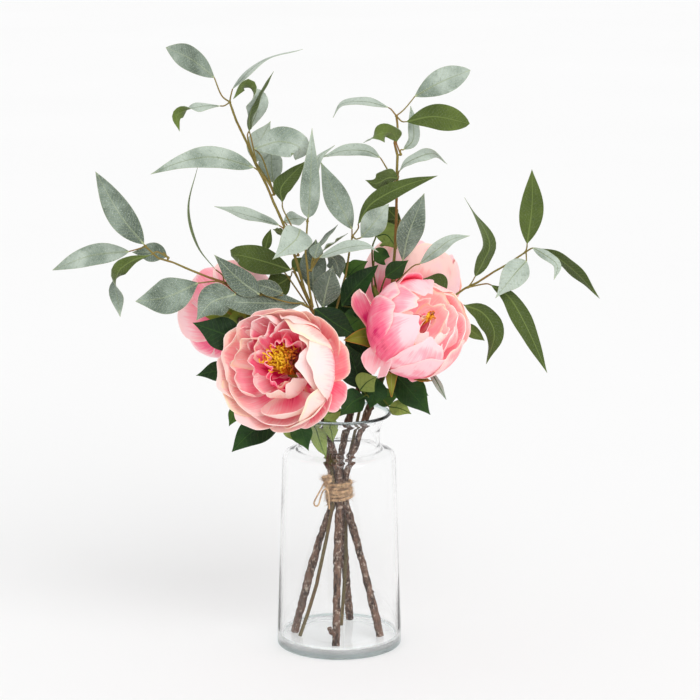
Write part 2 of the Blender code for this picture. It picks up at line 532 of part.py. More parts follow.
# Pieces that stand off a whorl: (bloom, root points inside the whorl, midrib points, width, face).
DROPPED_PETALS = [
    ("right", [(33, -30.7, 322.1)], [(29, -33, 325), (23, -35, 340), (14, -29, 362)], 26, (-0.8, -0.6, 0)),
    ("right", [(45.1, -42.7, 299.1)], [(42, -45, 296), (37, -47, 288), (31, -46, 278)], 30,
     (-0.5, -0.75, -0.3)),
]
LONG_SEPALS = [
    ("right", [(57, -9.5, 306.5), (50, -4, 309)], [(42, -3, 312), (28, -6, 319), (8, -12, 319)], 18,
     (-0.1, -1, 0.2)),
    ("right", [(58, -11, 307.5)], [(58, -14, 300), (61, -20, 285), (65, -23, 261)], 12, (0.1, -1, 0.1)),
]


def inset(points, distance):
    """A profile moved sideways by a distance, towards the bloom's inside."""
    moved = []
    for i, (radius, height) in enumerate(points):
        before, after = points[max(i - 1, 0)], points[min(i + 1, len(points) - 1)]
        run = Vector((after[0] - before[0], after[1] - before[1])).normalized()
        moved.append((radius - run.y * distance, height + run.x * distance))
    return moved


def wavy(lobes, amount, solid_rows):
    """A shape function that scallops all but the first rows of a whorl."""

    def shape(row, radius, height, angle):
        if row in solid_rows:
            return radius, height
        wave = math.cos(lobes * angle)
        return radius * (1 + amount * wave), height * (1 + amount * wave)

    return shape


def build_whorl(name, outside, frame, lobes, colour):
    """A ring of overlapping petals as one open cup with a scalloped edge."""
    inside = inset(outside, PETAL_THICKNESS)
    rows = [(0, outside[0][1]), *outside, *inside[::-1], (0, inside[0][1])]
    base_rows = {0, 1, 2, len(rows) - 3, len(rows) - 2, len(rows) - 1}
    return turned(name, rows, BLOOM_SIDES, colour, 0.7, frame=frame, shape=wavy(lobes, 0.04, base_rows))


def build_calyx(name, outer, size, frame):
    """The green cup under a bloom: a boss that takes the stem, and five sepals that hug the petals."""
    back = [(0.0, outer[0][1]), *outer[:3]]

    def height_at(radius):
        for (r0, h0), (r1, h1) in zip(back, back[1:]):
            if radius <= r1:
                return h0 + (h1 - h0) * (radius - r0) / (r1 - r0)
        return back[-1][1]

    def shape(row, radius, height, angle):
        if radius > 12:
            radius = 13 + (radius - 13) * abs(math.cos(2.5 * angle)) ** 0.7
        if row < 4:
            return radius, height_at(radius) - 0.6
        if row < 7:
            return radius, height_at(radius) - 0.6 - 1.1
        return radius, height

    top = [(0, 0), (7, 0), (13, 0), (27 * size, 0)]
    under = [(26.4 * size, 0), (12.6, 0), (7.5, 0)]
    boss = [(5.2, -5.0), (4.8, -BOSS), (0, -BOSS)]
    return turned(name, top + under + boss, BLOOM_SIDES, SEPAL, 0.7, frame=frame, shape=shape)


def build_blooms():
    """Each bloom: calyx, petal whorls one inside the other, and a tuft of stamens."""
    tints = {"outer_petals": PALE, "cup_petals": PINK, "heart_petals": DEEP}
    for name, facts in BLOOMS.items():
        frame = axis_frame(facts["origin"], facts["axis"])
        size, solids = facts["size"], {}
        outer = facts["whorls"]["outer_petals"]
        solids["calyx"] = build_calyx(f"peony_{name}_calyx", outer, size, frame)
        for lobes, (whorl, profile) in zip((5, 5, 4), facts["whorls"].items()):
            solids[whorl] = build_whorl(f"peony_{name}_{whorl}", profile, frame, lobes, tints[whorl])
        extras = ((DROPPED_PETALS, "outer_petals", PINK), (LONG_SEPALS, "calyx", SEPAL))
        for pieces, whorl, colour in extras:
            for i, (owner, root, midrib, width, face) in enumerate(pieces):
                if owner == name:
                    extra = leaf(f"{whorl}_{i}", root, midrib, width, face, 6, colour)
                    join(solids[whorl], extra)
        if name != "back":
            wide, tall = STAMENS[facts["kind"]]
            base = inset(list(facts["whorls"].values())[-1], PETAL_THICKNESS)[0][1] + GAP
            rows = [(0, base), (4, base), (5, base + 6), (wide * size, tall * size),
                    (wide * size * 0.7, tall * size + 4), (0, tall * size + 5)]
            turned(f"peony_{name}_stamens", rows, 10, POLLEN, 0.9, frame=frame)


# ---------------------------------------------------------------- twine

JUTE = (0.50, 0.36, 0.20)

BOW_ROUTE = [
    (-14.9, -9.1, 169.2), (-18.2, -10.5, 163), (-21.6, -11.2, 157), (-24.4, -11.6, 151.5),
    (-25.2, -11.9, 148.2), (-23.6, -12.2, 145.9), (-21.2, -12.5, 146.6), (-19.8, -12.8, 150),
    (-18.3, -13.2, 156), (-16.4, -13.9, 161.5), (-13.9, -14.9, 164.4), (-11.4, -15.8, 162.9),
    (-10.4, -16, 158.5), (-10.2, -15.7, 151), (-9.7, -15.2, 143.5),
]


def free_cord(name, line, radius, colour, roughness):
    """A limp cord along a line, with closed ends."""
    path = bpy.data.curves.new(name, "CURVE")
    path.dimensions = "3D"
    path.bevel_depth = radius * MM
    path.bevel_resolution = 2
    path.use_fill_caps = True
    strand = path.splines.new("POLY")
    strand.points.add(len(line) - 1)
    for point, place in zip(strand.points, line):
        point.co = (*(place * MM), 1.0)
    path.materials.append(finish(name, colour, roughness))
    cord = bpy.data.objects.new(name, path)
    bpy.context.scene.collection.objects.link(cord)
    return cord


def build_twine():
    """The twine: a band of wraps with a knot on it, and the loose loop and tail below the knot."""
    half = TIE_WIDTH / 2
    rows = [(TIE_INNER_RADIUS, TIE_HEIGHT - half), (TIE_OUTER_RADIUS - 0.8, TIE_HEIGHT - half),
            (TIE_OUTER_RADIUS, TIE_HEIGHT), (TIE_OUTER_RADIUS - 0.8, TIE_HEIGHT + half),
            (TIE_INNER_RADIUS, TIE_HEIGHT + half), (TIE_INNER_RADIUS, TIE_HEIGHT)]
    sides = 24
    model = bmesh.new()
    rings = [
        [
            model.verts.new(Vector((r * math.cos(a), r * math.sin(a), h)) * MM)
            for a in (2 * math.pi * k / sides for k in range(sides))
        ]
        for r, h in rows
    ]
    for low, high in zip(rings, rings[1:] + rings[:1]):
        for i in range(sides):
            j = (i + 1) % sides
            model.faces.new((low[i], low[j], high[j], high[i]))
    bmesh.ops.recalc_face_normals(model, faces=model.faces)
    mesh = bpy.data.meshes.new("twine_wrap")
    model.to_mesh(mesh)
    model.free()
    band = bpy.data.objects.new("twine_wrap", mesh)
    bpy.context.scene.collection.objects.link(band)
    band.data.materials.append(finish("twine_wrap", JUTE, 0.95))
    knot = joint("twine_knot", Vector((-12.6, -7.2, 172.5)), JUTE)
    knot.data.transform(Matrix.Diagonal((2.2, 2.0, 2.8, 1)))
    join(band, knot)
    free_cord("twine_bow", smooth_line(BOW_ROUTE, 2), TWINE_RADIUS, JUTE, 0.95)


build_vase()
build_sprays(build_stems())
build_blooms()
build_twine()
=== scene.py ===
"""A hand-tied bunch of silk peonies and eucalyptus standing in a clear glass bottle vase.

Every length in the tables is in millimetres; MM turns it into metres. The origin is the middle of the
vase's foot, +X is the arrangement's right, +Y its back and +Z up.
"""

from __future__ import annotations

import json
import logging
import random
from collections.abc import Callable, Sequence
from dataclasses import dataclass, field
from enum import Enum
from itertools import accumulate
from math import cos, exp, log, pi, radians, sin, sqrt, tan

import bmesh
import bpy
from mathutils import Matrix, Vector, noise

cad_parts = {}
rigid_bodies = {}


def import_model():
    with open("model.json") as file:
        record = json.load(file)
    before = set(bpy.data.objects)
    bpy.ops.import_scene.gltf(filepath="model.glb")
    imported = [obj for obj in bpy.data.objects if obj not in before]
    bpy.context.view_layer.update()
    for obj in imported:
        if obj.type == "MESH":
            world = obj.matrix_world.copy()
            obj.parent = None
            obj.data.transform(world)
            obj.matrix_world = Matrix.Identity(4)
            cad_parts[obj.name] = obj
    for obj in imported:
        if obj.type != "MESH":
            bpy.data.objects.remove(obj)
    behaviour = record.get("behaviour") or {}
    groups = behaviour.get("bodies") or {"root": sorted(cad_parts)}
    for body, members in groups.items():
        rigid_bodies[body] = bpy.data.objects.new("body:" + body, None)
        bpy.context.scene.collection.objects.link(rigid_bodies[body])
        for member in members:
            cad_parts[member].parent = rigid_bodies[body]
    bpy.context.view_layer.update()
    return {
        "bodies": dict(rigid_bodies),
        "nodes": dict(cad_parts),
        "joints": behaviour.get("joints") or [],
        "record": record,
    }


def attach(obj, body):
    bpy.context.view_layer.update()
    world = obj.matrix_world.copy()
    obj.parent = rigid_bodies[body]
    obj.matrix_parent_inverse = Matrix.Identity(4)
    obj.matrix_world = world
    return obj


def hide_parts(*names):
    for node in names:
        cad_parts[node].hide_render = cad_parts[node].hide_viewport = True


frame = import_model()

LOG = logging.getLogger("peonies")
MM = 0.001
ROOT = "root"
FULL_TURN = 6.283
TINY = 1e-12

Piece = bpy.types.Object
Mesh = bpy.types.Mesh
NodeTree = bpy.types.NodeTree
Socket = bpy.types.NodeSocket
Point = tuple[float, float, float]
Colour = tuple[float, float, float]
Run = tuple[Sequence[Vector], Sequence[float]]
Grid = list[list[Vector]]


# ---- lines in space


def mm(point: Sequence[float]) -> Vector:
    """A point given in millimetres, in metres."""
    return Vector(point) * MM


def smooth_line(points: Sequence[Sequence[float]], steps: int) -> list[Vector]:
    """Run a smooth curve through points.

    Args:
        points: The points that the curve passes through.
        steps: How many steps it takes from one point to the next.

    Returns:
        The points of the curve, in the units of the given ones.
    """
    knots = [Vector(p) for p in points]
    ends = [2 * knots[0] - knots[1], *knots, 2 * knots[-1] - knots[-2]]
    line = []
    for a, b, c, d in zip(ends, ends[1:], ends[2:], ends[3:]):
        for k in range(steps):
            t = k / steps
            line.append(0.5 * (2 * b + (c - a) * t + (2 * a - 5 * b + 4 * c - d) * t**2
                               + (3 * b - a - 3 * c + d) * t**3))
    return [*line, knots[-1]]


def length_of(line: Sequence[Vector]) -> float:
    """The length of a line."""
    return sum((q - p).length for p, q in zip(line, line[1:]))


def at(line: Sequence[Vector], share: float) -> tuple[Vector, Vector]:
    """Find a place on a line.

    Args:
        line: The line's points.
        share: How far along it, as a share of its length.

    Returns:
        The point there and the line's direction.
    """
    target = share * length_of(line)
    for p, q in zip(line, line[1:]):
        step = (q - p).length
        if target <= step:
            return p.lerp(q, target / step), (q - p).normalized()
        target -= step
    return line[-1].copy(), (line[-1] - line[-2]).normalized()


def evenly(line: Sequence[Vector], count: int) -> list[Vector]:
    """A line's points spread evenly, count steps in all."""
    return [at(line, k / count)[0] for k in range(count + 1)]


def directions(line: Sequence[Vector]) -> list[Vector]:
    """The direction of a line at each of its points."""
    last = len(line) - 1
    return [(line[min(i + 1, last)] - line[max(i - 1, 0)]).normalized() for i in range(last + 1)]


def square_to(vector: Sequence[float], direction: Vector) -> Vector:
    """The part of a vector that is square to a direction, as a unit vector."""
    whole = Vector(vector)
    return (whole - whole.dot(direction) * direction).normalized()


def ease(low: float, high: float, value: float) -> float:
    """A smooth rise from 0 at low to 1 at high."""
    share = min(max((value - low) / (high - low), 0.0), 1.0)
    return share * share * (3 - 2 * share)


# ---- node trees


def worked(operation: str, swapped: bool = False) -> Callable[[Wire, float | Wire], Wire]:
    """Make one of a Wire's operators.

    Args:
        operation: The Math node's operation.
        swapped: Whether it is the reflected form, with the Wire on the right.

    Returns:
        The operator.
    """

    def operator(self: Wire, other: float | Wire) -> Wire:
        """Add the Math node."""
        return self.maths(operation, *((other, self) if swapped else (self, other)))

    return operator


class Wire:
    """A node's output that takes part in Python arithmetic."""

    def __init__(self, tree: NodeTree, socket: Socket) -> None:
        """Wrap one output socket of a tree."""
        self.tree = tree
        self.socket = socket

    def maths(self, operation: str, *values: float | Wire) -> Wire:
        """Add a Math node.

        Args:
            operation: The node's operation.
            *values: What its inputs get, in order.

        Returns:
            The node's output.
        """
        node = self.tree.nodes.new("ShaderNodeMath")
        node.operation = operation
        for socket, value in zip(node.inputs, values):
            plug(self.tree, socket, value)
        return Wire(self.tree, node.outputs[0])

    __add__, __radd__ = worked("ADD"), worked("ADD", swapped=True)
    __sub__, __rsub__ = worked("SUBTRACT"), worked("SUBTRACT", swapped=True)
    __mul__, __rmul__ = worked("MULTIPLY"), worked("MULTIPLY", swapped=True)
    __truediv__, __pow__ = worked("DIVIDE"), worked("POWER")

    def __abs__(self) -> Wire:
        """abs(self)."""
        return self.maths("ABSOLUTE", self)

    def sine(self) -> Wire:
        """The sine of an angle in radians."""
        return self.maths("SINE", self)

    def cosine(self) -> Wire:
        """The cosine of an angle in radians."""
        return self.maths("COSINE", self)

    def between(self, low: float, high: float) -> Wire:
        """Rise smoothly from 0 at low to 1 at high.

        Args:
            low: Where the rise starts.
            high: Where it ends; below low it falls instead.

        Returns:
            The eased value.
        """
        node = self.tree.nodes.new("ShaderNodeMapRange")
        node.interpolation_type = "SMOOTHSTEP"
        lower, upper, start, end = (low, high, 0.0, 1.0) if low < high else (high, low, 1.0, 0.0)
        for index, value in enumerate((self, lower, upper, start, end)):
            plug(self.tree, node.inputs[index], value)
        return Wire(self.tree, node.outputs[0])


def plug(tree: NodeTree, socket: Socket, value: object) -> None:
    """Give an input a value or a link.

    Args:
        tree: The tree that the socket is in.
        socket: The input.
        value: A Wire to link, or a plain value to set.
    """
    if isinstance(value, Wire):
        tree.links.new(value.socket, socket)
    elif isinstance(value, tuple) and len(value) == 3 and socket.type == "RGBA":
        socket.default_value = (*value, 1.0)
    else:
        socket.default_value = value


class Tree:
    """A node tree under construction."""

    def __init__(self, tree: NodeTree) -> None:
        """Wrap a tree."""
        self.tree = tree

    def node(
        self,
        kind: str,
        inputs: dict[str | int, object] | None = None,
        settings: dict[str, object] | None = None,
        out: str | int = 0,
    ) -> Wire:
        """Add a node.

        Args:
            kind: The node's type.
            inputs: A value or a Wire for each input, by name or place.
            settings: The node's own settings.
            out: Which output to hand back.

        Returns:
            That output.
        """
        node = self.tree.nodes.new(kind)
        for key, value in (settings or {}).items():
            setattr(node, key, value)
        for key, value in (inputs or {}).items():
            plug(self.tree, node.inputs[key], value)
        return Wire(self.tree, node.outputs[out])

    def mix(self, first: object, second: object, share: object, blend: str = "MIX") -> Wire:
        """Blend a first colour with a share of a second."""
        return self.node("ShaderNodeMix", {0: share, 6: first, 7: second},
                         {"data_type": "RGBA", "blend_type": blend}, 2)

    def noise(self, scale: float, detail: float = 2.0, where: Wire | None = None) -> Wire:
        """Fine cloudy noise, on Object coordinates unless told where."""
        return self.node("ShaderNodeTexNoise", {"Vector": where or self.place(), "Scale": scale,
                                                "Detail": detail})

    def place(self) -> Wire:
        """Where a point of the piece is, on Object coordinates."""
        return self.node("ShaderNodeTexCoord", out="Object")

    def parts(self, vector: Wire) -> list[Wire]:
        """A vector's three numbers."""
        node = self.node("ShaderNodeSeparateXYZ", {0: vector}).socket.node
        return [Wire(self.tree, socket) for socket in node.outputs]

    def mark(self, name: str) -> Wire:
        """A number that a piece carries on its surface."""
        return self.node("ShaderNodeAttribute", settings={"attribute_name": name}, out="Fac")

    def layered(self, colour: object, *coats: tuple[object, object]) -> Wire:
        """Lay colours over a first one, each with the share that shows."""
        for coat, share in coats:
            colour = self.mix(colour, coat, share)
        return colour

    def bump(self, height: Wire, strength: float, distance: float) -> Wire:
        """A normal that follows a height."""
        return self.node("ShaderNodeBump", {"Strength": strength, "Distance": distance, "Height": height})


class GrowthTree(Tree):
    """A Geometry Nodes tree with named inputs."""

    def __init__(self, name: str, **inputs: float) -> None:
        """Start a tree that takes numbers and a finish.

        Args:
            name: The tree's name.
            **inputs: Each number's default, by name with _ for a blank; a whole one stays whole.
        """
        group = bpy.data.node_groups.new(name, "GeometryNodeTree")
        super().__init__(group)
        self.keys: dict[str, str] = {}
        for way in ("INPUT", "OUTPUT"):
            group.interface.new_socket("Geometry", in_out=way, socket_type="NodeSocketGeometry")
        for label, value in inputs.items():
            kind = "NodeSocketInt" if isinstance(value, int) else "NodeSocketFloat"
            self._take(label, kind).default_value = value
        self._take("Finish", "NodeSocketMaterial")
        self.entry = group.nodes.new("NodeGroupInput")

    def _take(self, label: str, kind: str) -> bpy.types.NodeTreeInterfaceSocket:
        """Add a named input and note its identifier."""
        socket = self.tree.interface.new_socket(label.replace("_", " "), in_out="INPUT", socket_type=kind)
        self.keys[label] = socket.identifier
        return socket

    def given(self, label: str) -> Wire:
        """One of the tree's own inputs."""
        return Wire(self.tree, self.entry.outputs[label])

    def close(self, geometry: Wire) -> GrowthTree:
        """End the tree: instances made real, then the finish set.

        Args:
            geometry: What the tree has made.

        Returns:
            The tree itself.
        """
        real = self.node("GeometryNodeRealizeInstances", {"Geometry": geometry})
        dressed = self.node("GeometryNodeSetMaterial", {"Geometry": real, "Material": self.given("Finish")})
        exit_node = self.tree.nodes.new("NodeGroupOutput")
        plug(self.tree, exit_node.inputs[0], dressed)
        return self

    def joined(self, *parts: Wire) -> Wire:
        """Several geometries as one."""
        node = self.tree.nodes.new("GeometryNodeJoinGeometry")
        for part in reversed(parts):
            self.tree.links.new(part.socket, node.inputs[0])
        return Wire(self.tree, node.outputs[0])

    def curves(self, step: float | Wire) -> Wire:
        """The lines of the tree's mesh as curves with a point at every step."""
        curve = self.node("GeometryNodeMeshToCurve", {"Mesh": self.given("Geometry")})
        return self.node("GeometryNodeResampleCurve", {"Curve": curve, "Length": step}, {"mode": "LENGTH"})

    def ring(self, sides: int | Wire, radius: float | Wire) -> Wire:
        """A circle."""
        return self.node("GeometryNodeCurvePrimitiveCircle", {"Resolution": sides, "Radius": radius})

    def arc(self, steps: int, start: Point, middle: Point, end: Point) -> Wire:
        """A bent line from a start to an end, pulled towards a middle."""
        return self.node("GeometryNodeCurveQuadraticBezier",
                         {"Resolution": steps, "Start": start, "Middle": middle, "End": end})

    def tube(self, curve: Wire, outline: Wire) -> Wire:
        """An outline drawn along a curve, closed at both ends."""
        return self.node("GeometryNodeCurveToMesh",
                         {"Curve": curve, "Profile Curve": outline, "Fill Caps": True})

    def pushed(self, geometry: Wire, height: Wire) -> Wire:
        """Move a surface outwards by a height."""
        normal = self.node("GeometryNodeInputNormal")
        shift = self.node("ShaderNodeVectorMath", {0: normal, "Scale": height}, {"operation": "SCALE"})
        return self.node("GeometryNodeSetPosition", {"Geometry": geometry, "Offset": shift})

    def carried(self, name: str, kind: str = "FLOAT") -> Wire:
        """What each point of the tree's mesh carries under a name."""
        return self.node("GeometryNodeInputNamedAttribute", {"Name": name}, {"data_type": kind})

    def chance(self, low: float | Wire, high: float | Wire, seed: Wire) -> Wire:
        """A random number for each point."""
        return self.node("FunctionNodeRandomValue", {2: low, 3: high, "Seed": seed},
                         {"data_type": "FLOAT"}, 1)

    def planted(self, points: Wire, piece: Wire, facing: Wire, size: Wire, seed: Wire) -> Wire:
        """Stand a piece on every point, spun at random.

        Args:
            points: The points.
            piece: What stands on them.
            facing: The rotation that turns its Z the right way.
            size: How large it is.
            seed: The seed of its spin.

        Returns:
            The pieces.
        """
        spin = self.chance(0.0, FULL_TURN, seed)
        twist = self.node("FunctionNodeAxisAngleToRotation", {"Axis": (0.0, 0.0, 1.0), "Angle": spin})
        turn = self.node("FunctionNodeRotateRotation", {"Rotation": facing, "Rotate By": twist},
                         {"rotation_space": "LOCAL"})
        return self.node("GeometryNodeInstanceOnPoints",
                         {"Points": points, "Instance": piece, "Rotation": turn, "Scale": size})

    def grow(self, name: str, base: Mesh, finish: Finish, **values: float) -> Piece:
        """Run the tree on a mesh and keep the result as a plain mesh.

        Args:
            name: The new piece's name.
            base: The mesh that the tree starts from; it is used up.
            finish: What the piece wears.
            **values: What the tree's other inputs get, with _ for a blank in a name.

        Returns:
            The finished piece, with no modifier on it.
        """
        seed = bpy.data.objects.new(f"{name}.seed", base)
        bpy.context.scene.collection.objects.link(seed)
        modifier = seed.modifiers.new("Growth", "NODES")
        modifier.node_group = self.tree
        modifier[self.keys["Finish"]] = finish.material()
        for label, value in values.items():
            modifier[self.keys[label]] = value
        graph = bpy.context.evaluated_depsgraph_get()
        mesh = bpy.data.meshes.new_from_object(seed.evaluated_get(graph), depsgraph=graph)
        mesh.name = name
        mesh.shade_smooth()
        bpy.data.objects.remove(seed)
        bpy.data.meshes.remove(base)
        return placed(name, mesh)


def carry(mesh: Mesh, name: str, values: Sequence[float], kind: str = "FLOAT", domain: str = "POINT") -> None:
    """Give every point or face of a mesh a number, or a vector as three numbers in a row."""
    data = mesh.attributes.new(name, kind, domain).data
    data.foreach_set("vector" if kind == "FLOAT_VECTOR" else "value", values)


def line_mesh(runs: Sequence[Run]) -> Mesh:
    """Make a mesh of lines that carries the girth at each point.

    Args:
        runs: Lines in millimetres, each with its radii in millimetres, or with none.

    Returns:
        The mesh.
    """
    points, edges, girths = [], [], []
    for line, radii in runs:
        start = len(points)
        points += [point * MM for point in line]
        edges += [(start + i, start + i + 1) for i in range(len(line) - 1)]
        girths += [radius * MM for radius in radii]
    mesh = bpy.data.meshes.new("line")
    mesh.from_pydata(points, edges, [])
    if girths:
        carry(mesh, "girth", girths)
    return mesh


def placed(name: str, mesh: Mesh) -> Piece:
    """An object at the origin that shows a mesh."""
    piece = bpy.data.objects.new(name, mesh)
    bpy.context.scene.collection.objects.link(piece)
    return piece


def hand_over(piece: Piece, slot: str, *nodes: str) -> Piece:
    """Report a finished piece.

    Args:
        piece: The piece.
        slot: The record's material slot; not used.
        *nodes: The plain solids that it stands for.

    Returns:
        The piece.
    """
    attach(piece, ROOT)
    if nodes:
        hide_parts(*nodes)
    LOG.info("%s: %d faces for %s", piece.name, len(piece.data.polygons), ", ".join(nodes))
    return piece


# ---- finishes


MADE: dict[Finish, bpy.types.Material] = {}


@dataclass(frozen=True)
class Finish:
    """A material by name, made once from the node tree that shade() describes."""

    name: str

    def shade(self, tree: Tree) -> dict[str, object]:
        """Describe the look.

        Args:
            tree: The material's node tree.

        Returns:
            What the Principled shader's sockets get: values and wires by socket name.
        """
        raise NotImplementedError

    def close(self, tree: Tree, shader: Wire) -> Wire:
        """The surface that the shader ends in; plain unless a finish says otherwise."""
        return shader

    def body(self, tree: Tree) -> Wire | None:
        """What fills the piece; nothing unless a finish says otherwise."""
        return None

    def material(self) -> bpy.types.Material:
        """Make the finish, once.

        Returns:
            The material, the same one each time.
        """
        if self in MADE:
            return MADE[self]
        made = MADE[self] = bpy.data.materials.new(f"{self.name}_finish")
        made.use_nodes = True
        made.node_tree.nodes.clear()
        tree = Tree(made.node_tree)
        shader = tree.node("ShaderNodeBsdfPrincipled", self.shade(tree))
        output = made.node_tree.nodes.new("ShaderNodeOutputMaterial")
        plug(tree.tree, output.inputs["Surface"], self.close(tree, shader))
        body = self.body(tree)
        if body:
            plug(tree.tree, output.inputs["Volume"], body)
        return made


def cloth_place(tree: Tree) -> list[Wire]:
    """Where a point is on its cloth: millimetres across and along."""
    return tree.parts(tree.node("ShaderNodeUVMap", settings={"uv_map": "Cloth"}))[:2]


def weave(across: Wire, along: Wire, pitch: float) -> Wire:
    """A plain weave's height from 0 to 1, from millimetres across, along and between its threads."""
    turn = 2 * pi / pitch
    return (across * turn).sine() * (along * turn).sine() * 0.5 + 0.5


@dataclass(frozen=True)
class LeafCloth(Finish):
    """Printed leaf cloth: mottled upper side, plainer under side, a pale midrib and slanting side veins."""

    upper_dark: Colour = (0.095, 0.128, 0.096)
    upper: Colour = (0.235, 0.292, 0.238)
    upper_light: Colour = (0.47, 0.54, 0.47)
    under: Colour = (0.060, 0.090, 0.016)
    under_light: Colour = (0.13, 0.185, 0.035)
    bract: Colour = (0.16, 0.22, 0.035)
    sage: Colour = (0.36, 0.42, 0.35)
    rib: Colour = (0.44, 0.50, 0.26)
    under_rib: Colour = (0.17, 0.23, 0.06)
    speck: Colour = (0.72, 0.80, 0.73)
    fleck: Colour = (0.04, 0.065, 0.03)
    vein_share: float = 0.26
    vein_pitch: float = 3.8
    roughness: float = 0.72
    grain: float = 0.6
    gloss: float = 0.16
    sheen: float = 0.22
    relief: float = 0.00025

    def shade(self, tree: Tree) -> dict[str, object]:
        """Mottled cloth with veins."""
        across, along = cloth_place(tree)
        tint, below, share = (tree.mark(key) for key in ("tint", "under", "along"))
        cloud, speckle, fleck = tree.noise(38.0, 4.0), tree.noise(1300.0, 2.0), tree.noise(360.0, 3.0)
        body = (cloud * 1.3 + tint.between(0.0, 1.0) * 0.75 + share * 0.15 - 0.62).between(0.0, 1.0)
        upper = tree.layered(self.upper_dark, (self.upper, body.between(0.0, 0.5)),
                             (self.upper_light, body.between(0.45, 1.0)))
        rib = (abs(across) / (1.25 - share * 0.95)).between(1.0, 0.3)
        slant = (along - abs(across) * 0.85 + across.between(-0.2, 0.2) * self.vein_pitch * 0.5)
        ripple = tree.noise(90.0, 1.0) * 1.2
        wave = ((slant + ripple * self.vein_pitch) * (2 * pi / self.vein_pitch)).cosine()
        vein = wave.between(0.80, 1.0) * (1.0 - rib)
        line = tree.mix(self.rib, self.under_rib, below)
        colour = tree.layered(
            upper, (tree.mix(self.under, self.under_light, body), below),
            (self.bract, tint.between(1.1, 1.6)), (self.sage, tint.between(-0.3, -0.8)),
            (self.speck, speckle.between(0.50, 0.80) * (1.0 - below * 0.8) * self.grain),
            (self.fleck, fleck.between(0.54, 0.80) * 0.45), (line, vein * self.vein_share), (line, rib * 0.8),
            (line, tree.mark("rim").between(0.6, 0.15) * 0.30))
        height = weave(across, along, 0.42) * 0.35 + vein * 0.7 + rib * 0.9 + speckle * 0.6
        return {"Base Color": colour, "Roughness": speckle * 0.15 + (self.roughness - 0.07),
                "Normal": tree.bump(height, 0.8, self.relief), "Specular IOR Level": self.gloss,
                "Sheen Weight": self.sheen, "Sheen Roughness": 0.45}


@dataclass(frozen=True)
class PetalCloth(Finish):
    """Dyed petal cloth, pale at the edge and pink at the base, with a cream cut rim and painted shade,
    highlight and glow.
    """

    white: Colour = (1.0, 0.73, 0.72)
    pale: Colour = (0.99, 0.44, 0.50)
    pink: Colour = (0.95, 0.19, 0.32)
    # deep: the darkest pink, partly the dye of the small magenta inner petals and partly painted shade in the
    # crevices
    deep: Colour = (0.70, 0.012, 0.15)
    cream: Colour = (1.0, 0.82, 0.50)
    peach: Colour = (1.0, 0.88, 0.87)
    coral: Colour = (1.0, 0.66, 0.70)
    cool: Colour = (1.0, 0.86, 0.93)
    thread: Colour = (1.0, 0.74, 0.72)
    # cut: a pale cut edge, partly the cloth's own and partly a painted highlight along the rim
    cut: Colour = (1.0, 0.84, 0.80)
    # glow: emission that makes the petals glow, painted light standing in for light passing through the cloth
    glow: float = 0.26
    relief: float = 0.00032

    def shade(self, tree: Tree) -> dict[str, object]:
        """Dye that runs along the petal in streaks, with painted shade, a painted rim highlight and a painted
        glow.
        """
        across, along = cloth_place(tree)
        share, blush, tint, rim, below, hue = (
            tree.mark(key) for key in ("along", "blush", "tint", "rim", "under", "peach"))
        streak, fine = (
            tree.noise(1.0, detail, tree.node("ShaderNodeCombineXYZ", {
                0: across * wide, 1: along * long, 2: tint * 40.0}))
            for detail, wide, long in ((4.0, 0.55, 0.035), (3.0, 1.7, 0.06)))
        cloud = tree.noise(34.0, 2.0)
        warm, cool = hue.between(0.0, 1.0), hue.between(0.0, -1.0)
        # depth: how deep the pink is; partly dye, partly painted shade that deepens towards each petal's base
        # and in from its rim, where the next petal overlaps
        depth = (blush + (0.72 - share) * 1.2 + share.between(0.65, 0.0) * 0.9
                 + (rim.between(0.8, 10.0) * 0.85 - 0.52) * (1.0 - cool * 0.5) - cool * 0.12
                 + (streak - 0.5) * 1.1 + (cloud - 0.5) * (cool * 1.3 + 1.7) - below * 0.15)
        colour = tree.layered(
            self.white, (self.pale, depth.between(-0.25, 0.30)), (self.pink, depth.between(0.20, 0.85)),
            (self.deep, depth.between(0.85, 1.50)),
            (tree.mix(self.peach, self.coral, depth.between(0.15, 1.1)), warm))
        creaming = ((cloud * 2.2 + share * 0.9 + tint * 0.8).between(1.75, 2.6)
                    * (1.0 - blush.between(0.15, 0.5)))
        colour = tree.layered(
            tree.mix(colour, self.cool, cool, "MULTIPLY"), (self.thread, fine.between(0.52, 0.78) * 0.25),
            (self.cream, creaming * 0.25),
            (self.cream, rim.between(5.0, 0.4) * tint.between(0.45, 0.9) * (0.65 - cool * 0.4)),
            (self.cut, rim.between(1.6, 0.1) * (0.50 - cool * 0.2)))
        # Painted glow: the petals give off light in their own colour squared, most in the peach hearts, deep
        # pinks and cool blooms, standing in for light that passes through them
        painted_glow_share = warm * 0.70 + cool * 0.15 + blush.between(0.7, 1.3) * 0.5 + 0.22
        through = tree.mix((0.0, 0.0, 0.0), tree.mix(colour, colour, 1.0, "MULTIPLY"), painted_glow_share)
        height = weave(across, along, 0.34) * 0.30 + streak * 1.6 + fine * 1.3
        return {"Base Color": colour, "Roughness": fine * 0.2 + 0.55,
                "Normal": tree.bump(height, 0.6, self.relief), "Specular IOR Level": 0.14,
                "Emission Color": through, "Emission Strength": self.glow}


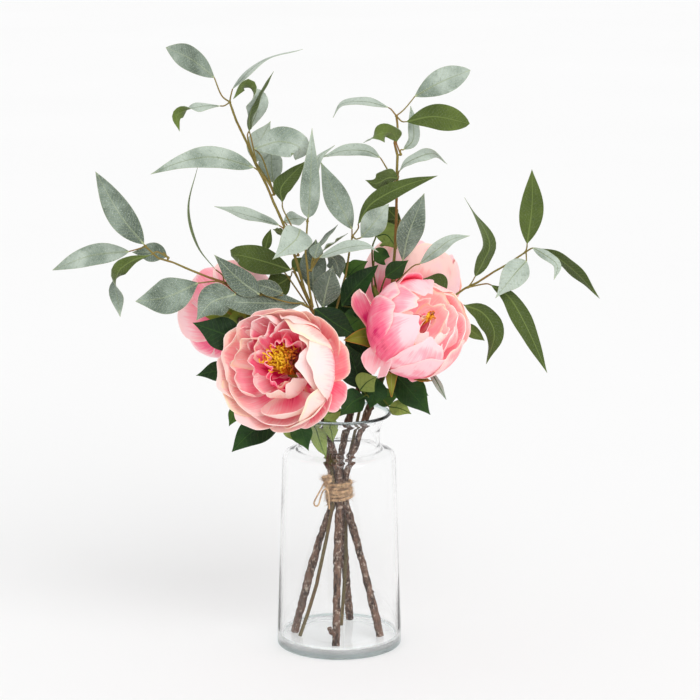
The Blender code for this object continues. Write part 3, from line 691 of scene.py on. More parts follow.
@dataclass(frozen=True)
class SepalCloth(Finish):
    """Yellow-green sepals whose edges turn orange."""

    green: Colour = (0.11, 0.17, 0.015)
    gold: Colour = (0.28, 0.32, 0.03)
    flame: Colour = (0.62, 0.17, 0.04)
    rib: Colour = (0.40, 0.45, 0.16)

    def shade(self, tree: Tree) -> dict[str, object]:
        """Green cloth with a warm rim."""
        across, along = cloth_place(tree)
        cloud = tree.noise(60.0, 3.0)
        rib = (abs(across) / 0.5).between(1.0, 0.3)
        colour = tree.layered(
            self.green, (self.gold, (cloud + tree.mark("along") * 0.4).between(0.35, 0.9)),
            (self.flame, (tree.mark("rim") + cloud * 1.4 - 0.6).between(1.0, 0.2) * 0.6),
            (self.rib, rib * 0.5))
        height = weave(across, along, 0.4) * 0.4 + rib + cloud
        return {"Base Color": colour, "Roughness": cloud * 0.2 + 0.5,
                "Normal": tree.bump(height, 0.6, 0.0002), "Specular IOR Level": 0.4}


@dataclass(frozen=True)
class Bark(Finish):
    """Moulded bark: ridged, dark, with pale flecks."""

    dark: Colour = (0.018, 0.009, 0.006)
    light: Colour = (0.16, 0.088, 0.060)
    fleck: Colour = (0.50, 0.42, 0.35)
    fleck_from: float = 0.53
    stretch: float = 0.22

    def shade(self, tree: Tree) -> dict[str, object]:
        """Streaky bark along an upright stem."""
        place = tree.node("ShaderNodeMapping", {"Vector": tree.place(), "Scale": (1.0, 1.0, self.stretch)})
        broad, fine = tree.noise(240.0, 4.0, place), tree.noise(900.0, 3.0, place)
        spots = tree.noise(330.0, 2.0)
        cell = tree.node("ShaderNodeTexVoronoi", {"Vector": place, "Scale": 420.0})
        flecks = spots.between(self.fleck_from, self.fleck_from + 0.12) * fine.between(0.35, 0.6)
        colour = tree.layered(self.dark, (self.light, (broad * 0.7 + fine * 0.6).between(0.48, 0.78)),
                              (self.fleck, flecks * 0.75))
        height = broad + fine * 0.5 - cell * 0.35 + flecks * 0.3
        return {"Base Color": colour, "Roughness": fine * 0.25 + 0.6,
                "Normal": tree.bump(height, 0.9, 0.0009), "Specular IOR Level": 0.15}


@dataclass(frozen=True)
class TwigCoat(Finish):
    """Twigs: olive and golden brown with dark flecks."""

    green: Colour = (0.24, 0.19, 0.05)
    brown: Colour = (0.27, 0.125, 0.035)
    dark: Colour = (0.05, 0.03, 0.012)
    foot: Colour = (0.075, 0.055, 0.032)
    brownness: float = 0.5

    def shade(self, tree: Tree) -> dict[str, object]:
        """Patchy twig colour, dull and dark low down."""
        broad, fine = tree.noise(28.0, 2.0), tree.noise(600.0, 3.0)
        height = tree.parts(tree.place())[2]
        colour = tree.layered(
            self.green, (self.brown, (broad + (self.brownness - 0.5)).between(0.38, 0.62)),
            (self.foot, height.between(0.36, 0.20) * 0.75), (self.dark, fine.between(0.52, 0.8) * 0.7))
        return {"Base Color": colour, "Roughness": fine * 0.2 + 0.55,
                "Normal": tree.bump(fine + broad, 0.7, 0.0003), "Specular IOR Level": 0.2}


@dataclass(frozen=True)
class Pollen(Finish):
    """Stamens: yellow heads on threads that redden towards one side."""

    yellow: Colour = (0.96, 0.60, 0.02)
    orange: Colour = (0.80, 0.25, 0.01)
    red: Colour = (0.28, 0.025, 0.01)

    def shade(self, tree: Tree) -> dict[str, object]:
        """A colour for each thread."""
        cloud = tree.noise(700.0, 2.0)
        mixed = tree.mark("warm") + (cloud - 0.5) * 0.4
        colour = tree.layered(self.yellow, (self.orange, mixed.between(0.25, 0.6)),
                              (self.red, mixed.between(0.6, 0.95)))
        return {"Base Color": colour, "Roughness": cloud * 0.2 + 0.5}


@dataclass(frozen=True)
class Jute(Finish):
    """Jute twine: tan and hairy, mottled darker by noise, partly its own colour and partly painted shade for
    the gaps between strands.
    """

    light: Colour = (0.74, 0.50, 0.28)
    # dark: partly the jute's own darker fibres, partly painted shade for the gaps between strands
    dark: Colour = (0.26, 0.13, 0.055)

    def shade(self, tree: Tree) -> dict[str, object]:
        """Tan with darker mottling from noise, partly the jute's own and partly painted shade for the gaps
        between strands.
        """
        broad, fine = tree.noise(260.0, 3.0), tree.noise(1800.0, 2.0)
        colour = tree.mix(self.dark, self.light, (broad * 0.9 + fine * 0.4).between(0.46, 0.80))
        return {"Base Color": colour, "Roughness": fine * 0.1 + 0.85,
                "Normal": tree.bump(fine + broad, 0.9, 0.0005), "Sheen Weight": 0.3, "Sheen Roughness": 0.5}


@dataclass(frozen=True)
class ClearGlass(Finish):
    """Clear soda glass, grey-green at its heel and lip, that lets shadow rays by."""

    clear: Colour = (1.0, 1.0, 1.0)
    thick: Colour = (0.40, 0.50, 0.50)
    depth: Colour = (0.45, 0.56, 0.55)

    def shade(self, tree: Tree) -> dict[str, object]:
        """Smooth glass with the slight waves of a mould, frosted under its foot."""
        across, back, height = tree.parts(tree.place())
        radius = (across * across + back * back) ** 0.5
        heel = height.between(0.0095, 0.004) * radius.between(0.0607, 0.0621)
        frost = height.between(0.0030, 0.0026) * radius.between(0.0622, 0.0612)
        colour = tree.mix(self.clear, self.thick, heel + height.between(0.2375, 0.2395))
        return {"Base Color": colour, "Roughness": frost * 0.7, "IOR": 1.45,
                "Specular Tint": (0.6, 0.6, 0.6), "Transmission Weight": 1.0,
                "Normal": tree.bump(tree.noise(18.0, 1.0), 0.35, 0.0008)}

    def body(self, tree: Tree) -> Wire | None:
        """Glass takes a little red out of a long way through it."""
        return tree.node("ShaderNodeVolumeAbsorption", {"Color": self.depth, "Density": 2.0})

    def close(self, tree: Tree, shader: Wire) -> Wire:
        """Let light through to what stands inside."""
        shadow = tree.node("ShaderNodeLightPath", out="Is Shadow Ray")
        gap = tree.node("ShaderNodeBsdfTransparent", {"Color": (0.99, 0.995, 0.995)})
        return tree.node("ShaderNodeMixShader", {0: shadow, 1: shader, 2: gap})


@dataclass(frozen=True)
class PaleFloor(Finish):
    """The studio floor."""

    def shade(self, tree: Tree) -> dict[str, object]:
        """Almost white paper."""
        cloud = tree.noise(0.8, 2.0)
        colour = tree.mix((0.90, 0.90, 0.90), (0.925, 0.925, 0.925), cloud)
        return {"Base Color": colour, "Roughness": 0.9, "Specular IOR Level": 0.1}


# ---- sheets and rods

# What each point of a piece carries for the finishes: its share of the way from base to tip, how far in
# from the cut edge it is (millimetres), a number of its leaf's or petal's own, how deep a pink it is, and
# how far that pink turns towards peach, or towards a cool pink when negative.
MARKS = ("along", "rim", "tint", "blush", "peach")


@dataclass
class Patchwork:
    """Thin closed sheets and round rods gathered into one mesh, with the marks that finishes read."""

    points: list[Vector] = field(default_factory=list)
    faces: list[tuple[int, ...]] = field(default_factory=list)
    places: list[tuple[float, float]] = field(default_factory=list)
    marks: dict[str, list[float]] = field(default_factory=lambda: {key: [] for key in MARKS})
    under: list[float] = field(default_factory=list)
    coats: list[int] = field(default_factory=list)

    def _note(self, place: tuple[float, float], **values: float) -> None:
        """Record one point's place on the cloth and its marks."""
        self.places.append(place)
        for key in MARKS:
            self.marks[key].append(values.get(key, 0.0))

    def _face(self, corners: Sequence[int], coat: int = 0, under: float = 0.0) -> None:
        """Add one face: its corners, its finish and whether it is an under side."""
        self.faces.append(tuple(corners))
        self.coats.append(coat)
        self.under.append(under)

    def sheet(self, grid: Grid, thickness: float, **values: float) -> None:
        """Add a thin closed sheet.

        Args:
            grid: Rows of points from base to tip, each row from one edge to the other; in metres.
            thickness: The cloth's thickness in metres.
            **values: Marks that are the same all over the sheet.
        """
        rows, columns = len(grid), len(grid[0])
        start, back = len(self.points), rows * columns
        spine = [row[columns // 2] for row in grid]
        lengths = [0.0, *accumulate((high - low).length for low, high in zip(spine, spine[1:]))]
        for side in (0.5, -0.5):
            for i, row in enumerate(grid):
                span = length_of(row)
                for j, point in enumerate(row):
                    up, down = grid[min(i + 1, rows - 1)][j], grid[max(i - 1, 0)][j]
                    right, left = row[min(j + 1, columns - 1)], row[max(j - 1, 0)]
                    normal = (right - left).cross(up - down)
                    normal = normal.normalized() if normal.length > TINY else Vector((0, 0, 1))
                    across = j / (columns - 1) - 0.5
                    rim = min((0.5 - abs(across)) * span, lengths[-1] - lengths[i]) / MM
                    self.points.append(point + normal * (thickness * side))
                    self._note((across * span / MM, lengths[i] / MM), along=lengths[i] / lengths[-1],
                               rim=rim, **values)
        for i in range(rows - 1):
            for j in range(columns - 1):
                low = start + i * columns + j
                quad = (low, low + 1, low + columns + 1, low + columns)
                self._face(quad)
                self._face([corner + back for corner in reversed(quad)], under=1.0)
        border = [*((0, j) for j in range(columns)), *((i, columns - 1) for i in range(1, rows)),
                  *((rows - 1, j) for j in range(columns - 2, -1, -1)),
                  *((i, 0) for i in range(rows - 2, 0, -1))]
        rim_line = [start + i * columns + j for i, j in border]
        for here, after in zip(rim_line, rim_line[1:] + rim_line[:1]):
            self._face((after, here, here + back, after + back))

    def rod(self, line: Sequence[Vector], radii: Sequence[float], sides: int = 6, coat: int = 0,
            **values: float) -> None:
        """Add a round rod with closed ends.

        Args:
            line: The rod's middle line in metres.
            radii: Its radius at each point of the line.
            sides: How many sides it has.
            coat: Which of the piece's finishes it wears.
            **values: Marks that are the same all over the rod.
        """
        start = len(self.points)
        ways = directions(line)
        side = square_to((0.31, 1.0, 0.12), ways[0])
        run = 0.0
        for i, (centre, way) in enumerate(zip(line, ways)):
            side = square_to(side, way)
            other = way.cross(side)
            run += (line[i] - line[i - 1]).length if i else 0.0
            for k in range(sides):
                turn = 2 * pi * k / sides
                self.points.append(centre + (side * cos(turn) + other * sin(turn)) * radii[i])
                self._note((turn * radii[i] / MM, run / MM), along=i / (len(line) - 1), rim=9.0, **values)
        for low in range(start, len(self.points) - sides, sides):
            for k in range(sides):
                after = (k + 1) % sides
                self._face((low + k, low + after, low + sides + after, low + sides + k), coat)
        self._face(range(start + sides - 1, start - 1, -1), coat)
        self._face(range(len(self.points) - sides, len(self.points)), coat)

    def ball(self, centre: Vector, size: Sequence[float], coat: int = 0) -> None:
        """Add a small rounded knuckle.

        Args:
            centre: Its middle, in metres.
            size: Its three radii, in metres.
            coat: Which of the piece's finishes it wears.
        """
        model = bmesh.new()
        bmesh.ops.create_icosphere(model, subdivisions=2, radius=1.0)
        start = len(self.points)
        for vert in model.verts:
            swell = 1.0 + 0.16 * noise.noise(vert.co * 1.7 + centre * 300)
            self.points.append(centre + Vector(a * b * swell for a, b in zip(vert.co, size)))
            self._note((0.0, 0.0), rim=9.0)
        for face in model.faces:
            self._face([start + vert.index for vert in face.verts], coat)
        model.free()

    def piece(self, name: str, *finishes: Finish) -> Piece:
        """Sew the whole into an object.

        Args:
            name: The piece's name.
            *finishes: What it wears, in the order of its coats.

        Returns:
            The piece.
        """
        mesh = bpy.data.meshes.new(name)
        mesh.from_pydata(self.points, [], self.faces)
        for finish in finishes:
            mesh.materials.append(finish.material())
        for key, values in self.marks.items():
            carry(mesh, key, values)
        carry(mesh, "under", self.under, domain="FACE")
        mesh.polygons.foreach_set("material_index", self.coats)
        cloth = mesh.uv_layers.new(name="Cloth")
        for loop in mesh.loops:
            cloth.data[loop.index].uv = self.places[loop.vertex_index]
        mesh.shade_smooth()
        mesh.set_sharp_from_angle(angle=radians(58))
        mesh.validate()
        return placed(name, mesh)


# ---- vase


@dataclass
class Vase:
    """A bottle vase of clear glass, turned about its upright middle line."""

    sides: int = 96
    fillet_steps: int = 5
    # The outline, from the middle of the foot up the outside, over the lip and down the inside to the
    # middle of the floor: radius, height and how round the corner is, in millimetres.
    outline: tuple[Point, ...] = (
        (0.0, 2.2, 0.0), (46.0, 1.9, 6.0), (58.5, 0.0, 1.5), (63.3, 0.0, 2.4), (63.2, 12.0, 4.0),
        (60.3, 95.0, 40.0), (56.9, 199.9, 8.5), (41.0, 203.4, 6.0), (41.0, 222.0, 16.0),
        (45.6, 233.0, 8.0), (53.0, 239.3, 1.4), (50.4, 241.4, 1.1), (43.6, 235.0, 8.0),
        (38.2, 222.0, 16.0), (38.2, 201.8, 5.0), (53.8, 197.4, 6.0), (57.3, 95.0, 40.0),
        (60.0, 9.0, 4.0), (36.0, 8.4, 8.0), (0.0, 9.6, 0.0))

    def _rounded(self) -> list[tuple[float, float]]:
        """Round the outline's corners.

        Returns:
            Radius and height of each point, in millimetres.
        """
        line = [self.outline[0][:2]]
        for before, here, after in zip(self.outline, self.outline[1:], self.outline[2:]):
            corner = Vector(here[:2])
            back, on = Vector(before[:2]) - corner, Vector(after[:2]) - corner
            reach = here[2] / tan(back.angle(on) / 2)
            reach = min(reach, 0.48 * back.length, 0.48 * on.length)
            start, end = corner + back.normalized() * reach, corner + on.normalized() * reach
            for k in range(self.fillet_steps + 1):
                t = k / self.fillet_steps
                line.append(tuple(start * (1 - t) ** 2 + corner * 2 * t * (1 - t) + end * t**2))
        return [*line, self.outline[-1][:2]]

    def build(self) -> Piece:
        """Turn the outline into the glass.

        Returns:
            The glass.
        """
        model = bmesh.new()
        rings = []
        for radius, height in self._rounded():
            count = 1 if radius < 0.01 else self.sides
            rings.append([
                model.verts.new(mm((radius * cos(2 * pi * k / count),
                                    radius * sin(2 * pi * k / count), height)))
                for k in range(count)])
        for low, high in zip(rings, rings[1:]):
            for k in range(self.sides):
                after = (k + 1) % self.sides
                corners = [low[k % len(low)], low[after % len(low)], high[after % len(high)],
                           high[k % len(high)]]
                model.faces.new(list(dict.fromkeys(corners)))
        bmesh.ops.recalc_face_normals(model, faces=model.faces)
        mesh = bpy.data.meshes.new("vase_glass")
        model.to_mesh(mesh)
        model.free()
        mesh.materials.append(ClearGlass("clear_glass").material())
        mesh.shade_smooth()
        return hand_over(placed("vase_glass", mesh), "vase_glass", "vase")


# ---- stems


def at_tie(across: float, back: float) -> list[Point]:
    """A stem's upright run through the tie."""
    return [(across, back, height) for height in (148, 160, 172)]


@dataclass(frozen=True)
class Route:
    """A stem's line: its thickness at both ends and the points that it passes through."""

    radius: float
    tip: float
    points: list[Point]
    steps: int = 2

    def line(self) -> list[Vector]:
        """The stem's middle line, in millimetres."""
        return smooth_line(self.points, self.steps)


@dataclass
class Stems:
    """The bark-covered peony stems and the thinner eucalyptus stems, all grown by one node tree."""

    lines: dict[str, list[Vector]] = field(default_factory=dict)
    crisp: float = radians(60)
    radius: float = 3.3
    foot_swell: float = 0.7
    knob_shares: tuple[float, ...] = (0.12, 0.22, 0.33, 0.43, 0.68, 0.80)
    knob_reach: float = 3.9
    knob_radii: Point = (2.2, 2.0, 1.3)
    fork_share: float = 0.035
    fork: tuple[Point, ...] = ((-4.5, -1.5, 3.5), (-6.6, -2.4, 9.0))
    fork_radii: Point = (2.6, 2.7, 2.3)

    def _tree(self) -> GrowthTree:
        """A round stem along a line: it swells, it has knots, and its bark is rough.

        Returns:
            The tree.
        """
        tree = GrowthTree("grown_stem", Sides=20, Step=0.0012, Swell=0.0005, Swell_Scale=60.0,
                          Grain=0.0003, Grain_Scale=420.0)
        girth = tree.carried("girth")
        curve = tree.node("GeometryNodeSetCurveRadius",
                          {"Curve": tree.curves(tree.given("Step")), "Radius": girth})
        stem = tree.tube(curve, tree.ring(tree.given("Sides"), 1.0))
        body = stem.socket.node
        if "Scale" in body.inputs:
            plug(tree.tree, body.inputs["Scale"], girth)
        place = tree.node("GeometryNodeInputPosition")
        swell = tree.noise(tree.given("Swell Scale"), 1.0, place)
        grain = tree.noise(tree.given("Grain Scale"), 2.0, place)
        height = (swell - 0.5) * 2.0 * tree.given("Swell") + (grain - 0.5) * 2.0 * tree.given("Grain")
        return tree.close(tree.pushed(stem, height))

    def build(self) -> None:
        """Grow every stem."""
        tree = self._tree()
        for key, points in PEONY_STEMS.items():
            self._peony(tree, key, points)
        for key, route in SPRAY_STEMS.items():
            line = self.lines[key] = route.line()
            last = len(line) - 1
            radii = [route.radius + (route.tip - route.radius) * i / last for i in range(last + 1)]
            piece = tree.grow(f"eucalyptus_{key}_wood", line_mesh([(line, radii)]), TWIG_COAT, Sides=12,
                              Step=0.0014, Swell=0.0002, Swell_Scale=160.0, Grain=0.00012,
                              Grain_Scale=900.0)
            piece.data.set_sharp_from_angle(angle=self.crisp)
            hand_over(piece, "eucalyptus_bark", f"eucalyptus_{key}")

    def _peony(self, tree: GrowthTree, key: str, points: list[Point]) -> None:
        """Grow a peony's stem up to its bloom.

        Args:
            tree: The stems' node tree.
            key: The bloom's name.
            points: The stem's line below the bloom, in millimetres.
        """
        flower = BLOOMS[key]
        knots = [*points, *(flower.origin - flower.axis * (BOSS + back) for back in (14, 0.6))]
        self.lines[key] = smooth_line(knots, 2)
        line = smooth_line(knots, 6)
        last = len(line) - 1
        draw = random.Random(f"stem {key}")
        phase = draw.uniform(0, 6)
        radii = [self.radius + 0.4 * sin(phase + i * 0.7) * sin(i * 0.23)
                 + self.foot_swell * (1 - i / last) ** 2 for i in range(last + 1)]
        runs = [(line, radii), *self._knobs(line, draw)]
        if key == "front":
            foot = at(line, self.fork_share)[0]
            runs.append(([foot, *(foot + Vector(step) for step in self.fork)], self.fork_radii))
        piece = tree.grow(f"peony_stem_{key}_bark", line_mesh(runs), Bark("peony_bark"), Sides=22,
                          Step=0.0011, Swell=0.0014, Swell_Scale=120.0, Grain=0.00055, Grain_Scale=520.0)
        piece.data.set_sharp_from_angle(angle=self.crisp)
        hand_over(piece, "peony_bark", f"peony_stem_{key}")

    def _knobs(self, line: Sequence[Vector], draw: random.Random) -> list[Run]:
        """Short stubs where side shoots were cut off.

        Args:
            line: The stem's line.
            draw: Where the random numbers come from.

        Returns:
            The stubs' lines with their radii.
        """
        stubs = []
        for share in self.knob_shares:
            point, way = at(line, share + draw.uniform(-0.03, 0.03))
            turn = draw.uniform(0, 2 * pi)
            out = square_to((cos(turn), sin(turn), 0.0), way)
            tip = point + out * (self.knob_reach + draw.uniform(0.0, 0.9)) + way * 1.8
            stubs.append(([point, point.lerp(tip, 0.6), tip], self.knob_radii))
        return stubs


# ---- leaves


class Kind(Enum):
    """Whose leaf it is."""

    EUCALYPTUS = "eucalyptus"
    PEONY = "peony"


@dataclass(frozen=True)
class Habit:
    """What all the leaves of one kind share: their cloth, their stalks' coat and their thicknesses."""

    cloth: LeafCloth
    coat: TwigCoat
    knuckle: float
    stalk: float


@dataclass(frozen=True)
class Leaf:
    """One leaf: its stalk, its midrib from base to tip, its width, where its upper side looks and its fold.

    Tone is how light its cloth is, from 0 to 1; from 1.1 up it turns to an olive bract, and below -0.3 to
    sage. Twist turns its end, in degrees. Belly is the share of its length where it is widest, and blunt
    rounds its tip.
    """

    stalk: list[Point]
    midrib: list[Point]
    width: float
    face: Point
    fold: float
    tone: float = 0.5
    twist: float = 0.0
    belly: float = 0.42
    blunt: float = 0.0


@dataclass(frozen=True)
class Spray:
    """A knuckle pinned on a stem and the leaves that grow from it.

    The side is the way that the knuckle stands off the stem; it is None at a stem's end.
    """

    stem: str
    share: float
    side: Point | None
    leaves: list[Leaf]


@dataclass
class Foliage:
    """Every spray of leaves, pinned on the stems."""

    stems: Stems
    rows: int = 22
    columns: int = 10
    thickness: float = 0.00042
    stalk_taper: float = 0.22
    rib_lift: float = 0.26
    rib_radius: float = 0.46
    rib_taper: float = 0.016
    pin_radii: Point = (1.2, 0.95, 0.9)

    def _half_width(self, leaf: Leaf, share: float) -> float:
        """How wide a leaf is at a share of its length.

        Args:
            leaf: The leaf.
            share: 0 at the base, 1 at the tip.

        Returns:
            Its half width, from 0 to 1.
        """
        body = sin(pi * share ** (log(0.5) / log(leaf.belly))) ** (1.08 - 0.45 * leaf.blunt)
        if leaf.width > 0.5 * length_of([Vector(point) for point in leaf.midrib]):
            body *= 1 - 0.35 * ease(0.5, 1.0, share)
        return max(body, 0.035 * (1 - share), 0.006)

    def _blade(self, leaf: Leaf, draw: random.Random) -> Grid:
        """A leaf's cloth as rows of points.

        Args:
            leaf: The leaf.
            draw: Where the random numbers come from.

        Returns:
            Rows from base to tip, in metres.
        """
        line = evenly(smooth_line(leaf.midrib, 8), self.rows)
        ways = directions(line)
        normal = square_to(leaf.face, (line[-1] - line[0]).normalized())
        wave, phase = draw.uniform(0.03, 0.09), draw.uniform(0, 2 * pi)
        beats, bow = draw.uniform(1.4, 2.6), draw.uniform(-0.10, 0.22)
        fold = radians(leaf.fold)
        grid = []
        for i, (centre, way) in enumerate(zip(line, ways)):
            normal = square_to(normal, way)
            share = i / self.rows
            face = Matrix.Rotation(radians(leaf.twist) * ease(0.35, 0.85, share), 3, way) @ normal
            side = way.cross(face)
            half = 0.5 * leaf.width * self._half_width(leaf, share)
            row = []
            for j in range(self.columns + 1):
                across = 2 * j / self.columns - 1
                out = abs(across)
                lift = out * sin(fold) - bow * out * out
                lift += wave * 1.6 * out**2 * sin(beats * 2 * pi * share + phase + across)
                spread = across * cos(fold * 0.8)
                row.append((centre + side * (spread * half) + face * (lift * half)) * MM)
            grid.append(row)
        return grid

    def _rib(self, grid: Grid) -> list[Vector]:
        """Find where a midrib's rod lies, a little above the cloth.

        Args:
            grid: The leaf's cloth.

        Returns:
            The rod's line in metres.
        """
        mid = self.columns // 2
        line = []
        for low, here, high in zip(grid, grid[1:], grid[2:-1]):
            normal = (here[mid + 1] - here[mid - 1]).cross(high[mid] - low[mid]).normalized()
            line.append(here[mid] + normal * self.rib_lift * MM)
        return line

    def _foot(self, spray: Spray) -> tuple[Vector, Vector]:
        """Find where a spray is pinned.

        Args:
            spray: The spray.

        Returns:
            The middle of its knuckle and the way back into the stem, in millimetres.
        """
        point, way = at(self.stems.lines[spray.stem], spray.share)
        route = SPRAY_STEMS.get(spray.stem)
        base, tip = (route.radius, route.tip) if route else (PEONY_STEM_RADIUS, PEONY_STEM_RADIUS)
        away = square_to(spray.side, way) if spray.side else way
        clear = base + (tip - base) * spray.share if spray.side else 0.0
        centre = point + away * (clear + GAP + JOINT_RADIUS)
        return centre, centre - away * (JOINT_RADIUS + GAP + 0.8 * clear)

    def _grow(self, name: str, spray: Spray, kind: Kind) -> None:
        """Make one spray.

        Args:
            name: The solid that it stands for.
            spray: The spray.
            kind: Whose leaves they are.
        """
        draw = random.Random(f"spray {name}")
        habit = HABITS[kind]
        centre, foot = self._foot(spray)
        patch = Patchwork()
        patch.ball(centre * MM, [habit.knuckle * MM] * 3, coat=1)
        patch.rod([foot * MM, centre.lerp(foot, 0.5) * MM, centre * MM],
                  [radius * MM for radius in self.pin_radii], coat=1)
        for leaf in spray.leaves:
            stalk = smooth_line([centre, *leaf.stalk, leaf.midrib[0]], 5)
            last = len(stalk) - 1
            patch.rod([p * MM for p in stalk],
                      [(habit.stalk - self.stalk_taper * i / last) * MM for i in range(last + 1)], coat=1)
            tint = leaf.tone + draw.uniform(-0.1, 0.1)
            grid = self._blade(leaf, draw)
            patch.sheet(grid, self.thickness, tint=tint)
            patch.rod(self._rib(grid), [(self.rib_radius - self.rib_taper * i) * MM
                                        for i in range(self.rows - 2)], sides=5, tint=0.5)
        hand_over(patch.piece(f"{name}_cloth", habit.cloth, habit.coat), f"{kind.value}_leaf", name)

    def build(self) -> None:
        """Make all the sprays."""
        for name, spray in SPRAYS.items():
            kind = Kind.PEONY if name.startswith("peony") else Kind.EUCALYPTUS
            self._grow(name, spray, kind)


TWIG_COAT = TwigCoat("eucalyptus_bark", brownness=0.42)
SAGE_CLOTH = LeafCloth("eucalyptus_leaf_cloth")
GREEN_CLOTH = LeafCloth(
    "peony_leaf_cloth", upper_dark=(0.004, 0.024, 0.003), upper=(0.015, 0.060, 0.008),
    upper_light=(0.065, 0.16, 0.020), under=(0.05, 0.11, 0.02), under_light=(0.11, 0.17, 0.03),
    bract=(0.28, 0.37, 0.085), rib=(0.06, 0.14, 0.025), under_rib=(0.16, 0.22, 0.06), vein_share=0.18,
    vein_pitch=5.5, roughness=0.46, grain=0.03, gloss=0.24, sheen=0.0, relief=0.0003)
GREEN_STALK = TwigCoat("peony_stalk", green=(0.10, 0.13, 0.02), brown=(0.16, 0.10, 0.03),
                       foot=(0.10, 0.13, 0.02), brownness=0.35)
HABITS = {Kind.EUCALYPTUS: Habit(SAGE_CLOTH, TWIG_COAT, 1.55, 0.85),
          Kind.PEONY: Habit(GREEN_CLOTH, GREEN_STALK, 2.0, 1.05)}


# ---- blooms


@dataclass(frozen=True)
class Petal:
    """One petal of a bloom.

    Clock is where it grows, in degrees: 0 to the right of someone who looks into the bloom, 90 up.
    Spread is its half width in degrees at its widest. Whorl names the outline that it follows, reach
    scales its length, lean moves its tip out from the middle (millimetres), curl rolls its rim out (in when
    negative), ruffle waves its rim, notch cuts its tip, blush deepens its pink. Lap lifts one of its edges
    over its neighbour, point sharpens its tip and up moves the tip up (millimetres). Peach turns its pink
    towards peach, or towards a cool pink when negative.
    """

    clock: float
    spread: float
    whorl: str
    reach: float = 1.0
    blush: float = 0.3
    ruffle: float = 1.0
    lean: float = 0.0
    curl: float = 0.0
    notch: float = 0.0
    lap: float = 1.6
    point: float = 0.0
    up: float = 0.0
    peach: float = 0.0


